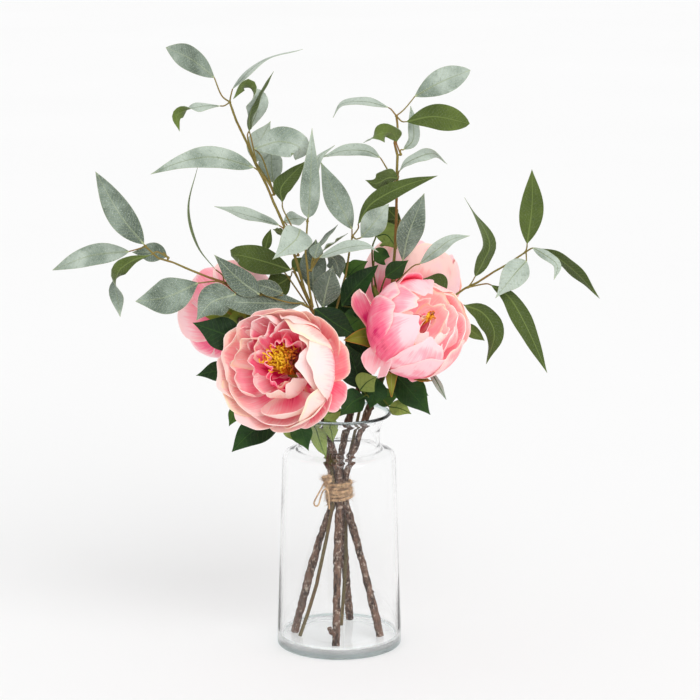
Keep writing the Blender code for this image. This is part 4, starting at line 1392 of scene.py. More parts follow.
@dataclass
class Bloom:
    """A peony: calyx, whorls of petals and a tuft of stamens."""

    name: str
    origin: Vector
    axis: Vector
    size: float
    outlines: dict[str, list[tuple[float, float]]]
    petals: dict[str, list[Petal]]
    stamen_at: tuple[float, float] | None = None
    stamen_spread: float = 12.0
    blush: float = 0.0
    stamen_lift: float = 0.0
    stamen_count: int = 210
    cool: float = 0.0
    loose: dict[str, list[LoosePetal]] = field(default_factory=dict)
    rows: int = 18
    columns: int = 16
    thickness: float = 0.00045
    sepals: int = 5
    sepal_rows: int = 12
    sepal_width: float = 8.5
    sepal_thickness: float = 0.0004
    thread: float = 0.013
    head: float = 0.024

    def frame(self) -> Matrix:
        """Stand the bloom in its place.

        Returns:
            Its frame: Z along its axis, Y upwards, X to the right.
        """
        up = square_to((0, 0, 1), self.axis)
        right = up.cross(self.axis)
        turn = Matrix((right, up, self.axis)).transposed().to_4x4()
        return Matrix.Translation(self.origin) @ turn

    def _outline(self, whorl: str) -> list[Vector]:
        """A whorl's outline at the bloom's size: radius and height in millimetres."""
        return smooth_line([Vector((r * self.size, h * self.size, 0.0)) for r, h in self.outlines[whorl]], 8)

    def _petal_grid(self, petal: Petal, draw: random.Random) -> Grid:
        """A petal's cloth as rows of points, in metres.

        Args:
            petal: The petal.
            draw: Where the random numbers come from.

        Returns:
            Rows from base to rim.
        """
        frame, line = self.frame(), self._outline(petal.whorl)
        phase, seed = draw.uniform(0, 2 * pi), draw.uniform(0, 50)
        beats = draw.uniform(2.2, 3.6)
        grid = []
        for i in range(self.rows + 1):
            share = i / self.rows
            row = []
            for j in range(self.columns + 1):
                across = 2 * j / self.columns - 1
                out = abs(across)
                rounding = 1 - (0.20 - 0.06 * petal.point) * out**2.4 - 0.07 * out**6
                rounding += petal.point * 0.12 * max(0.0, 1 - out * 2.2)
                rounding -= petal.notch * exp(-((across - 0.12) / 0.13) ** 2)
                rounding += 0.018 * petal.ruffle * sin(7 * across + phase)
                run = share * petal.reach * rounding
                spot, way = at(line, min(run, 1.0))
                spot = spot + way * max(run - 1.0, 0.0) * length_of(line)
                inner = Vector((-way.y, way.x, 0.0))
                widen = 0.30 + 0.70 * ease(0.0, 0.62, share) - 0.10 * ease(0.75, 1.0, share)
                turn = radians(petal.clock + petal.spread * widen * across)
                rim = ease(0.45, 1.0, share)
                bend = petal.ruffle * rim * 1.5 * out * sin(beats * across * 2 + phase)
                bend += 2.4 * petal.ruffle * share * noise.noise(Vector((across * 1.6, share * 1.8, seed)))
                bend -= petal.curl * 7.0 * max(0.0, share - 0.72) ** 2 / 0.08 * 0.5
                bend += petal.lap * across * share * 0.9
                spot = spot + inner * (bend * self.size) + Vector((petal.lean * share**1.6 * self.size, 0, 0))
                place = Vector((spot.x * cos(turn),
                                spot.x * sin(turn) + petal.up * (share * self.size), spot.y))
                row.append((frame @ place) * MM)
            grid.append(row[::-1])
        return grid

    def _whorl(self, key: str, draw: random.Random) -> None:
        """Make one whorl of petals.

        Args:
            key: The whorl's name.
            draw: Where the random numbers come from.
        """
        patch = Patchwork()
        for petal in self.petals[key]:
            patch.sheet(self._petal_grid(petal, draw), self.thickness, tint=draw.random(),
                        blush=petal.blush + self.blush, peach=petal.peach or -self.cool)
        for loose in self.loose.get(key, ()):
            patch.sheet(loose.grid(draw), self.thickness, tint=draw.random(), blush=loose.blush, peach=-1.0)
        slot = "outer_petal" if key == "outer_petals" else "inner_petal"
        hand_over(patch.piece(f"peony_{self.name}_{key}_cloth", PETAL_CLOTH), slot,
                  f"peony_{self.name}_{key}")

    def _sepal(self, clock: float, reach: float) -> Grid:
        """A sepal's cloth, which lies outside the outer petals.

        Args:
            clock: Where the sepal grows, in radians.
            reach: How far up the outline it reaches, as a share.

        Returns:
            Rows from base to tip, in metres.
        """
        frame, line = self.frame(), self._outline("outer")
        grid = []
        for i in range(self.sepal_rows + 1):
            share = i / self.sepal_rows
            spot, way = at(line, share * reach)
            outer = Vector((way.y, -way.x, 0.0))
            half = self.sepal_width * self.size * sin(pi * (0.12 + 0.88 * share) ** 0.9) ** 0.8
            row = []
            for j in range(7):
                across = j / 3 - 1
                place = spot + outer * (1.2 + 1.6 * share * share + 0.8 * across * across)
                turn = clock + across * half / max(place.x, 9.0)
                row.append((frame @ Vector((place.x * cos(turn), place.x * sin(turn), place.y))) * MM)
            grid.append(row)
        return grid

    def _calyx(self, draw: random.Random) -> None:
        """Make the green cup and its sepals.

        Args:
            draw: Where the random numbers come from.
        """
        frame = self.frame()
        patch = Patchwork()
        patch.rod([frame @ Vector((0, 0, height)) * MM for height, _ in CUP_OUTLINE],
                  [radius * MM for _, radius in CUP_OUTLINE], sides=14, tint=0.3)
        for k in range(self.sepals):
            clock = radians(360 / self.sepals * k + draw.uniform(-12, 12))
            grid = self._sepal(clock, draw.uniform(0.34, 0.50))
            patch.sheet(grid, self.sepal_thickness, tint=draw.random())
        for loose in self.loose.get("calyx", ()):
            patch.sheet(loose.grid(draw), self.sepal_thickness, tint=draw.random())
        piece = patch.piece(f"peony_{self.name}_calyx_cloth", SepalCloth("sepal_cloth"))
        hand_over(piece, "sepal", f"peony_{self.name}_calyx")

    def _stamens(self, draw: random.Random) -> None:
        """Grow the tuft of stamens from points on the bloom's floor.

        Args:
            draw: Where the random numbers come from.
        """
        depth, height = self.stamen_at
        frame = self.frame()
        points, aims, warm, sizes = [], [], [], []
        for _ in range(self.stamen_count):
            turn, out = draw.uniform(0, 2 * pi), sqrt(draw.random())
            spread = out * self.stamen_spread
            root = Vector((spread * 0.45 * cos(turn),
                           spread * 0.35 * sin(turn) + 0.3 * self.stamen_lift, depth))
            lean = Vector((spread * 1.22 * cos(turn) + draw.uniform(-3.5, 3.5),
                           spread * 0.70 * sin(turn) + self.stamen_lift + draw.uniform(-3, 3),
                           height - 0.30 * spread + draw.uniform(-4.5, 2.5)))
            points.append(frame @ root * MM)
            step = (frame @ lean) - (frame @ root)
            aims.append(step.normalized())
            sizes.append(step.length * MM)
            warm.append(0.32 + 1.05 * (lean.x / max(self.stamen_spread, 9.0)) + draw.uniform(-0.32, 0.32))
        mesh = bpy.data.meshes.new(f"{self.name}.stamen_roots")
        mesh.from_pydata(points, [], [])
        carry(mesh, "aim", [value for aim in aims for value in aim], "FLOAT_VECTOR")
        carry(mesh, "reach", sizes)
        carry(mesh, "warm", warm)
        piece = stamen_tree().grow(f"peony_{self.name}_stamens_tuft", mesh, Pollen("pollen"),
                                   Thread=self.thread, Head=self.head)
        hand_over(piece, "stamen", f"peony_{self.name}_stamens")

    def build(self) -> None:
        """Make the whole bloom."""
        draw = random.Random(f"bloom {self.name}")
        self._calyx(draw)
        for key in self.petals:
            self._whorl(key, draw)
        if self.stamen_at:
            self._stamens(draw)


@dataclass(frozen=True)
class LoosePetal:
    """A petal or sepal that hangs away from its whorl, laid along its own midrib."""

    root: Point
    midrib: list[Point]
    width: float
    face: Point
    blush: float = 0.6
    notch: float = 0.0
    blunt: float = 1.0
    rows: int = 16
    columns: int = 12

    def _half(self, share: float) -> float:
        """How wide it is at a share of its length.

        Args:
            share: 0 at the base, 1 at the tip.

        Returns:
            Its half width in millimetres.
        """
        if self.blunt > 0.5:
            return 0.5 * self.width * (0.22 + 0.78 * ease(0.0, 0.7, share)) * (
                1 - 0.45 * ease(0.82, 1.02, share) ** 2)
        return 0.5 * self.width * max(0.05, sin(pi * (0.06 + 0.94 * share) ** 0.85) ** 0.9)

    def grid(self, draw: random.Random) -> Grid:
        """Lay its cloth along its midrib.

        Args:
            draw: Where the random numbers come from.

        Returns:
            Rows of points from base to tip, in metres.
        """
        line = evenly(smooth_line([self.root, *self.midrib], 8), self.rows)
        ways = directions(line)
        normal = square_to(self.face, (line[-1] - line[0]).normalized())
        phase = draw.uniform(0, 6)
        rows = []
        for i, (centre, way) in enumerate(zip(line, ways)):
            normal = square_to(normal, way)
            side = way.cross(normal)
            share = i / self.rows
            half = self._half(share)
            row = []
            for j in range(self.columns + 1):
                across = 2 * j / self.columns - 1
                pull = self.notch * share**3 * exp(-((across + 0.1) / 0.16) ** 2)
                pull += 0.10 * abs(across) ** 3 * ease(0.6, 1.0, share) * self.blunt
                lift = 0.12 * self.width * (across * across - 0.3)
                lift += 0.9 * sin(3 * across + 4 * share + phase)
                row.append((centre - way * pull * 40 + side * across * half + normal * lift) * MM)
            rows.append(row)
        return rows


def stamen_tree() -> GrowthTree:
    """A bent thread with a pollen head, one for each root point, scaled and turned by the point's marks.

    Returns:
        The tree, with the thread's and the head's thickness as shares of the stamen's length.
    """
    tree = GrowthTree("stamens", Thread=0.014, Head=0.03, Seed=11)
    thread = tree.tube(tree.arc(6, (0.0, 0.0, 0.0), (0.16, 0.0, 0.62), (-0.06, 0.05, 1.0)),
                       tree.ring(5, tree.given("Thread")))
    head = tree.tube(tree.arc(5, (-0.04, 0.04, 0.93), (-0.10, 0.10, 1.02), (0.03, 0.02, 1.10)),
                     tree.ring(6, tree.given("Head")))
    upright = tree.node("FunctionNodeAlignRotationToVector",
                        {"Vector": tree.carried("aim", "FLOAT_VECTOR")}, {"axis": "Z"})
    roots = tree.node("GeometryNodeMeshToPoints", {"Mesh": tree.given("Geometry")})
    return tree.close(tree.planted(roots, tree.joined(thread, head), upright, tree.carried("reach"),
                                   tree.given("Seed")))


# ---- sizes and places

GAP = 0.3
JOINT_RADIUS = 1.9
PEONY_STEM_RADIUS = 3.5
SPRAY_STEM_RADIUS = 1.9
SIDE_STEM_RADIUS = 1.3
BOSS = 9.0
# The calyx's cup: how far along the bloom's axis, and its radius there.
CUP_OUTLINE = ((-BOSS, 3.9), (-7.5, 4.7), (-5, 5.3), (-2.5, 7.0), (-0.6, 9.0))
TIE_HEIGHT = 160.0
TIE_WIDTH = 21.0
FRONT = (0, -1, 0.1)

PEONY_STEMS: dict[str, list[Point]] = {
    "front": [(-3, -46, 9), (-2, -24, 80), *at_tie(0, -6), (-7, -13, 208), (-18, -20, 246), (-29, -20, 268)],
    "right": [(42, -15, 9), (21, -7, 95), *at_tie(6, 0), (17, -4, 208), (30, -5, 245), (43, -4, 278)],
    "left": [(-46, 0, 9), (-24, 0, 94), *at_tie(-6, 0), (-18, 5, 208), (-38, 8, 248), (-64, -8, 290),
             (-83, -25, 314)],
    "back": [(11, 41, 9), (5, 22, 88), *at_tie(0, 6), (5, 17, 208), (17, 27, 250), (37, 32, 293)],
}

SPRAY_STEMS: dict[str, Route] = {
    "stem_left": Route(SPRAY_STEM_RADIUS, 1.1, [
        (-40, -14, 9), (-23, -12, 63), *at_tie(-6, -6), (-10, -2, 206), (-12, 0, 253), (-17, -4, 305),
        (-26, -6, 344), (-35, -2, 367), (-42, 1, 393), (-55, 5, 430), (-65, 8, 452), (-72, 10, 469),
        (-83, 12, 490), (-91, 14, 510), (-101, 15, 531), (-107, 16, 548)]),
    "stem_right": Route(SPRAY_STEM_RADIUS, 1.1, [
        (2, 20, 9), (7, 9, 90), *at_tie(6, 6), (14, 12, 208), (27, 8, 268), (42, 5, 325), (53, 1, 372),
        (57, 5, 438), (57, 8, 475), (58, 9, 498), (55, 10, 510), (58, 10, 524), (57, 10, 535)]),
    "shoot_centre": Route(SIDE_STEM_RADIUS, 0.9, [
        (-26, -11, 349), (-30, -14, 372), (-31, -15, 389), (-33, -15, 405), (-31, -16, 434)], 1),
    "shoot_inner": Route(SIDE_STEM_RADIUS, 0.9, [
        (-14.4, -3.2, 304), (-3, 0, 344), (7, -3, 382), (11, -6, 408), (13, -8, 418)], 1),
    "branch_left": Route(SIDE_STEM_RADIUS, 0.9, [
        (-30, -9, 349), (-53, -20, 362), (-83, -26, 367), (-106, -28, 375), (-128, -27, 382),
        (-146, -25, 389), (-163, -22, 396), (-178, -20, 400), (-189, -18, 410)], 1),
    "branch_right": Route(SIDE_STEM_RADIUS, 0.9, [
        (45, 5.7, 327.7), (64, 8, 333), (87, 7, 340), (111, 0, 356), (125, -5, 367), (138, -8, 374),
        (153, -8, 384), (167, -8, 392), (183, -8, 403)], 1),
}

SPRAYS: dict[str, Spray] = {}


def pin(name: str, stem: str, share: float, side: Point | None, *leaves: tuple) -> None:
    """Plan a spray.

    Args:
        name: The solid that it stands for.
        stem: The stem that it is pinned to.
        share: The share of the stem's length where the pin is.
        side: The side of the stem that it stands on, or None at the stem's end.
        *leaves: Its leaves, each as the fields of a Leaf in their order.
    """
    SPRAYS[name] = Spray(stem, share, side, [Leaf(*leaf) for leaf in leaves])


pin("sprig_crown_left", "stem_left", 1.0, None,
    ([(-116, 17, 557)], [(-123, 20, 574), (-145, 0, 594), (-167, -25, 607)], 25, (0.2, -1, 0.3), 10, 0.35, 0,
     0.52, 0.6),
    ([(-107, 17, 555)], [(-105, 18, 563), (-76, 28, 589), (-36, 45, 600)], 22, (-0.4, -0.1, 1), 10, 0.85, 0,
     0.36),
    ([(-113, 12, 547)], [(-117, 10, 547), (-136, 2, 547), (-158, -6, 540), (-156, -10, 524)], 16,
     (-0.1, -0.5, 1), 10, 0.8, 140, 0.45))
pin("sprig_upper_left", "stem_left", 0.885, (0.3, -1, 0),
    ([(-90, 9, 515)], [(-88, 8, 524), (-80, 2, 548), (-90, -6, 570), (-103, -14, 556)], 25, (0.3, -1, 0.1), 8,
     0.7, 165, 0.45),
    ([(-86, 4, 514)], [(-88, -5, 524), (-85, -4, 546), (-64, 10, 581)], 16, (0.9, 0.5, 0.1), 12, 0.2, 0, 0.3))
pin("sprig_middle_left", "stem_left", 0.825, (1, -0.2, 0),
    ([(-67, 15, 467), (-76, 19, 480)], [(-83, 22, 490), (-78, 26, 510), (-68, 30, 530)], 26, FRONT, 8, 0.7),
    ([(-75, 8, 494)], [(-83, -2, 506), (-58, -9, 514), (-38, -10, 508), (-43, -2, 495)], 30, (0.1, -1, 0.3),
     8, 0.6, 0, 0.5, 0.5),
    ([(-64, 14, 463)], [(-65, 18, 470), (-67, 21, 486), (-67, 30, 508)], 26, (-0.3, -1, 0.1), 10, 0.8),
    ([(-69, 5, 470), (-78, 4, 482)], [(-84, 3, 487), (-122, -4, 498), (-154, -8, 494), (-185, -12, 482)], 23,
     (0, -0.9, 0.5), 8, 0.75, 0, 0.38))
pin("sprig_lower_left", "stem_left", 0.71, (1, 0, 0.3),
    ([(-45, 1, 424), (-55, 1, 445)], [(-56, 0, 453), (-56, -1, 469), (-33, 13, 492)], 22, (0.6, 0.8, -0.3),
     12, 0.2),
    ([(-44, -4, 411), (-54, -4, 426)], [(-59, -3, 430), (-88, 4, 438), (-124, 12, 447)], 20, (0, -0.4, 1), 10,
     0.8),
    ([(-40, -6, 420)], [(-38, -16, 428), (-43, -38, 420), (-64, -58, 405)], 31, (0.3, -0.8, 0.6), 8, 0.85, 0,
     0.36),
    ([(-44, 10, 415), (-52, 14, 428)], [(-55, 17, 431), (-45, 22, 433), (-32, 32, 431)], 18, (0, -0.7, 0.7),
     8, 0.95),
    ([(-44, 10, 410), (-50, 12, 418)], [(-53, 13, 421), (-59, 15, 421), (-66, 18, 423)], 14, (0, 0.6, 0.6),
     8))
pin("sprig_base_left", "stem_left", 0.6, (0, 1, 0),
    ([(-44, 2, 383)], [(-48, 0, 385), (-76, -6, 395), (-102, -12, 402), (-100, -20, 396)], 28, (0, 1, -0.3),
     8, 0.1, 0, 0.5, 0.6),
    ([(-58, 10, 386)], [(-74, 10, 402), (-71, 12, 414), (-68, 14, 424)], 10, (0.2, 1, 0), 6),
    ([(-44, 7, 380)], [(-48, 9, 377), (-61, 7, 369), (-76, 3, 365)], 28, (0, 1, -0.1), 8, 0.1, 0, 0.5),
    ([(-44, 5, 383)], [(-46, 6, 384), (-40, 11, 389), (-33, 15, 396)], 16, (0, 1, 0), 6))
pin("sprig_crown_centre", "shoot_centre", 1.0, None,
    ([], [(-30, -19, 440), (-28, -26, 467), (-26, -14, 528)], 20, FRONT, 12, 0.6, 0, 0.3),
    ([(-28, -10, 451)], [(-25, 2, 465), (-21, 16, 493), (-4, 30, 506)], 10, (-0.3, -0.3, 1), 8, 0.9))
pin("sprig_middle_centre", "shoot_centre", 0.45, (1, -0.2, 0),
    ([(-24, -18, 397)], [(-19, -22, 401), (6, -28, 411), (27, -26, 413), (39, -20, 406)], 20, (0, -0.5, 0.9),
     8, 0.85),
    ([(-18, -12, 401)], [(-11, -9, 402), (-3, -8, 395), (1, -6, 377)], 20, (-0.2, -0.8, -0.5), 10, 0.2),
    ([(-26, -8, 398)], [(-21, -4, 407), (-12, 2, 417), (-1, 10, 429)], 18, (-1, -0.4, 0.3), 10, 0.2),
    ([(-24, -6, 399)], [(-18, -2, 403), (-5, 3, 411), (9, 6, 421)], 20, (-0.2, 0.2, 1), 10, 0.7),
    ([(-25, -12, 393)], [(-24, -9, 398), (-22, -6, 406), (-19, -4, 414)], 14, FRONT, 6, 0.3))
pin("sprig_base_centre", "stem_left", 0.575, (1, -0.3, 0),
    ([(-20, -1, 344), (-23, 3, 353)], [(-25, 5, 360), (-26, 7, 385), (-23, 12, 414)], 27, FRONT, 8, 0.15, 0,
     0.5),
    ([(-17, -10, 338)], [(-16, -12, 349), (-12, -14, 369), (-6, -16, 392)], 29, (-0.1, -1, 0.1), 8, 0.25, 0,
     0.46))
pin("sprig_inner", "shoot_inner", 1.0, None,
    ([(13, -4, 421)], [(13, -1, 426), (-2, 6, 456), (-18, 14, 491)], 25, (0.2, -1, 0.1), 8, 0.5),
    ([(19, -10, 428)], [(19, -12, 433), (33, -14, 454), (64, -16, 471), (97, -22, 482)], 18,
     (-0.2, 0.8, -0.6), 8, 0.1),
    ([(17, -13, 418)], [(22, -17, 420), (35, -22, 436), (49, -22, 454)], 25, (-0.1, -1, 0.1), 8, 0.55, 0, 0.5,
     0.4))
pin("sprig_tip_left", "branch_left", 1.0, None,
    ([], [(-192, -20, 414), (-214, -24, 443), (-237, -30, 487)], 27, (0.2, -1, 0.2), 8, 0.3, 0, 0.42, 0.3),
    ([(-197, -17, 409)], [(-207, -16, 406), (-246, -12, 401), (-284, -8, 386)], 22, (0, -1, 0.4), 8, 0.5, 0,
     0.42, 0.3))
pin("sprig_outer_left", "branch_left", 0.86, (0, 0, 1),
    ([(-178, -25, 407)], [(-184, -30, 405), (-204, -36, 399), (-218, -40, 384), (-215, -36, 344)], 20,
     (0, 0.6, 0.8), 10, 0.4, -150, 0.55),
    ([(-173, -16, 405)], [(-170, -10, 400), (-182, -4, 403), (-206, 4, 402)], 20, (0, -0.9, 0.3), 8, 0.4))
pin("sprig_hanging_left", "branch_left", 0.52, (0, -1, 0),
    ([(-122, -33, 379)], [(-138, -37, 378), (-169, -42, 365), (-199, -44, 361)], 36, (0, -1, 0.3), 8, 0.4, 0,
     0.5, 0.4),
    ([(-114, -29, 384)], [(-121, -29, 390), (-138, -24, 413), (-147, -16, 450), (-139, -6, 488)], 13,
     (-1, 0.1, 0.2), 12, 0.2),
    ([(-104, -33, 370)], [(-101, -39, 367), (-124, -48, 361), (-139, -54, 344)], 33, (0.1, -1, 0.2), 8, 0.15))
pin("sprig_shaded_left", "branch_left", 0.3, (0, -1, -0.2),
    ([(-77, -30, 364)], [(-78, -33, 366), (-98, -34, 381), (-122, -36, 406)], 24, (0.2, -1, 0.1), 8, 0.05, 0,
     0.34),
    ([(-66, -26, 364)], [(-55, -26, 366), (-72, -29, 373), (-88, -31, 377)], 16, FRONT, 8, 0.0),
    ([(-50, -27, 357)], [(-34, -20, 355), (-64, -27, 356), (-96, -38, 359), (-120, -47, 362)], 30,
     (0.1, -0.9, 0.5), 8, 0.15, 0, 0.5))
pin("sprig_crown_right", "stem_right", 1.0, None,
    ([(65, 12, 544)], [(75, 14, 556), (101, 18, 570), (130, 24, 581)], 26, (0.1, -1, 0.2), 8, 0.6, 0, 0.54,
     0.8),
    ([(62, 8, 532)], [(67, 5, 532), (94, -4, 538), (128, -14, 532)], 26, (0, 1, -0.1), 8, 0.5, 0, 0.56, 0.85),
    ([(52, 12, 543)], [(49, 14, 545), (27, 18, 550), (4, 22, 548), (-6, 24, 534)], 16, (0, -0.4, 1), 10, 0.9))
pin("sprig_upper_right", "stem_right", 0.93, (1, 0, 0),
    ([(57, 5, 510)], [(57, 1, 513), (53, -8, 522), (40, -14, 522), (24, -12, 513)], 20, (-0.1, 0.5, 0.9), 10,
     0.9, 160),
    ([(61, 13, 503)], [(64, 15, 503), (74, 19, 515), (71, 22, 546)], 14, (0.5, -0.8, 0), 10, 0.95))
pin("sprig_middle_right", "stem_right", 0.875, (0, -1, 0),
    ([(59, 3, 482)], [(60, 0, 484), (68, -6, 493), (92, -14, 503), (106, -20, 493)], 14, (0, -0.6, 0.7), 8,
     0.9, 90),
    ([(46, 6, 488)], [(41, 8, 496), (27, 12, 502), (6, 16, 502), (-17, 20, 495)], 16, (0, -0.7, 0.8), 8, 0.8),
    ([(59, 2, 478)], [(58, -3, 477), (48, -9, 478), (37, -11, 473), (26, -10, 476)], 22, (0, 0.9, 0.3), 10,
     0.0))
pin("sprig_lower_right", "stem_right", 0.76, (0, 1, 0),
    ([(57, 11, 434)], [(57, 14, 435), (53, 17, 439), (46, 20, 446)], 15, (0, 1, 0), 6, 0.2),
    ([(60, 13, 430)], [(62, 18, 432), (54, 24, 432), (45, 28, 431)], 22, (0, 1, 0.1), 6, 0.0))
pin("sprig_base_right", "stem_right", 0.69, (0.4, -1, 0),
    ([(61, -8, 392)], [(63, -12, 396), (68, -14, 421), (76, -15, 443), (84, -16, 464)], 27, (0.1, -1, 0), 26,
     0.2, 0, 0.46),
    ([(72, -14, 390)], [(80, -18, 394), (96, -22, 408), (111, -22, 419), (129, -18, 422)], 15, (0, -0.8, 0.7),
     8, 0.8))
pin("sprig_tip_right", "branch_right", 1.0, None,
    ([(186, -8, 409)], [(186, -10, 413), (190, -14, 451), (189, -20, 488)], 24, (0, 1, 0), 8, 0.6),
    ([(191, -8, 408)], [(199, -11, 408), (220, -16, 397), (239, -22, 381), (257, -28, 361)], 18,
     (0.4, 0.7, 0.5), 10, 0.0),
    ([(188, -12, 407)], [(191, -18, 410), (203, -28, 404), (214, -34, 395), (211, -36, 381)], 13,
     (0.2, -0.6, 0.8), 8, 0.85),
    ([(185, -14, 403)], [(185, -18, 397), (172, -26, 384), (154, -32, 362)], 26, FRONT, 8, 0.8, 0, 0.36))
pin("sprig_middle_right_branch", "branch_right", 0.6, (0, -1, 0.1),
    ([(132, -8, 374)], [(135, -10, 380), (143, -12, 396), (148, -12, 417), (124, -4, 458)], 20,
     (-0.7, 0.7, 0.1), 12, 0.1, 40, 0.32),
    ([(145, -12, 373)], [(151, -14, 372), (169, -20, 360), (187, -26, 329), (206, -32, 287)], 21,
     (-0.6, 0.8, 0.2), 10, 0.1))
pin("sprig_inner_right_branch", "branch_right", 0.44, (0, -1, -0.3),
    ([(117, -4, 352)], [(125, -10, 351), (143, -16, 344), (154, -22, 325), (146, -28, 295)], 22,
     (-0.4, 0.9, 0.2), 10, 0.0, 50, 0.4),
    ([(118, -3, 340)], [(123, -6, 331), (132, -10, 325), (145, -14, 316)], 13, (0, 1, 0), 8),
    ([(108, -2, 359)], [(106, 0, 361), (96, 2, 370), (82, 4, 375)], 27, (-0.2, 1, -0.5), 10, 0.1))
pin("peony_leaves_front_low", "front", 0.87, (-0.3, -1, 0),
    ([(-50, -24, 266), (-88, -22, 256)], [(-96, -21, 253), (-103, -21, 244), (-110, -21, 230)], 14,
     (0, -1, 0.2), 6, 0.9),
    ([(-46, -30, 257)], [(-54, -31, 249), (-72, -34, 237), (-90, -40, 226), (-106, -46, 210)], 31,
     (0.1, -1, 0.2), 16, 0.4, 0, 0.46),
    ([(-36, -36, 256)], [(-41, -43, 247), (-37, -47, 232), (-30, -49, 212)], 24, (-0.3, -1, 0), 16, 0.5, 0,
     0.46),
    ([(-44, -36, 253)], [(-52, -40, 239), (-48, -40, 229), (-42, -42, 219)], 14, FRONT, 6, 1.9))
pin("peony_leaves_front_left", "front", 0.93, (-1, 0.6, 0),
    ([(-56, -20, 292)], [(-94, -34, 319), (-117, -44, 330), (-143, -50, 341)], 33, (0.1, -1, 0.2), 8, 0.3),
    ([(-62, -18, 284)], [(-104, -28, 288), (-123, -34, 289), (-141, -40, 286)], 20, (0, -1, 0.2), 8, 0.3))
pin("peony_leaves_front_right", "front", 0.8, (1, -0.3, 0),
    ([(-13, -19, 300), (-22, -18, 330)], [(-24, -18, 349), (-7, -22, 337), (20, -26, 321)], 28,
     (0.2, -1, 0.3), 8, 0.2),
    ([(-3, -23, 247)], [(3, -26, 248), (-10, -28, 245), (-22, -33, 244)], 17, (0, -1, 0.2), 6, 1.9),
    ([(-14, -27, 244), (-24, -27, 243)], [(-25, -23, 240), (-20, -21, 219), (-13, -17, 195)], 16,
     (0.3, -1, 0), 8, 1.9),
    ([(-12, -27, 244)], [(-12, -25, 243), (-8, -24, 230), (-6, -22, 214)], 15, FRONT, 8, 1.7))
pin("peony_leaves_right_low", "right", 0.9, (0.2, -1, 0),
    ([(48, -8, 284)], [(51, -9, 287), (68, -16, 269), (91, -25, 243)], 32, (0.1, -1, 0.2), 18, 0.4, 0, 0.5),
    ([(56, -7, 280)], [(67, -4, 272), (79, 0, 265), (90, 4, 256)], 16, (0, -1, 0.3), 6, 0.7),
    ([(42, -12, 262)], [(50, -16, 249), (61, -24, 249), (72, -30, 245)], 18, (0, -0.9, 0.5), 6, 1.9),
    ([(43, -13, 280)], [(38, -16, 278), (35, -17, 264), (31, -17, 247)], 27, FRONT, 10, 0.5),
    ([(64, -6, 288), (86, -14, 289)], [(90, -22, 288), (98, -32, 276), (106, -42, 262)], 9, (0.6, -1, 0.2), 8,
     -1.0))
pin("peony_leaves_right_inner", "right", 0.8, (0, -1, 0),
    ([(28, -20, 262)], [(25, -26, 262), (13, -36, 258), (1, -45, 246)], 26, (0.1, -1, 0.3), 16, 0.3),
    ([(24, -14, 264)], [(22, -16, 268), (16, -18, 290), (8, -18, 314)], 34, FRONT, 16, 0.2),
    ([(24, -14, 264)], [(25, -12, 284), (21, -9, 308), (5, -8, 334)], 38, (0.3, -1, 0.1), 14, 0.15),
    ([(26, -20, 264)], [(21, -24, 268), (28, -28, 277), (38, -30, 283)], 24, FRONT, 6, 1.8),
    ([(40, -9, 253), (37, 6, 250)], [(34, 14, 251), (46, 20, 251), (62, 26, 252)], 20, (0, -1, 0.3), 6, 1.0))
pin("peony_leaves_back_low", "back", 0.93, (-0.5, -1, 0),
    ([(38, 16, 340), (42, -4, 366)], [(46, -10, 379), (57, -12, 388), (69, -13, 397)], 18, FRONT, 8, 0.3),
    ([(24, 10, 340)], [(3, -6, 350), (18, -9, 370), (39, -11, 392)], 27, (-0.4, -1, 0.5), 12, 0.45),
    ([(28, 10, 322)], [(14, 6, 330), (0, 8, 346), (-8, 10, 366)], 27, FRONT, 10, 0.35),
    ([(30, 8, 322)], [(30, -4, 344), (16, -8, 334), (0, -10, 322)], 28, FRONT, 12, 0.7),
    ([(28, 10, 318)], [(23, -2, 322), (9, -6, 332), (-5, -4, 341)], 26, FRONT, 8, 0.5))
pin("peony_leaves_back_high", "back", 0.99, (-1, -0.4, 0),
    ([(38, 22, 360), (33, 16, 400)], [(37, 18, 416), (48, 19, 417), (58, 17, 403)], 26, FRONT, 6, 1.5),
    ([(28, 20, 350), (16, 10, 374)], [(10, 8, 378), (17, 7, 386), (29, 6, 393)], 17, FRONT, 8, 0.9),
    ([(28, 20, 350)], [(26, 8, 372), (14, 10, 382), (-2, 12, 389)], 21, FRONT, 8, 1.15),
    ([(34, 18, 360)], [(35, 8, 393), (44, 10, 398), (51, 12, 396)], 19, FRONT, 6, 0.6))

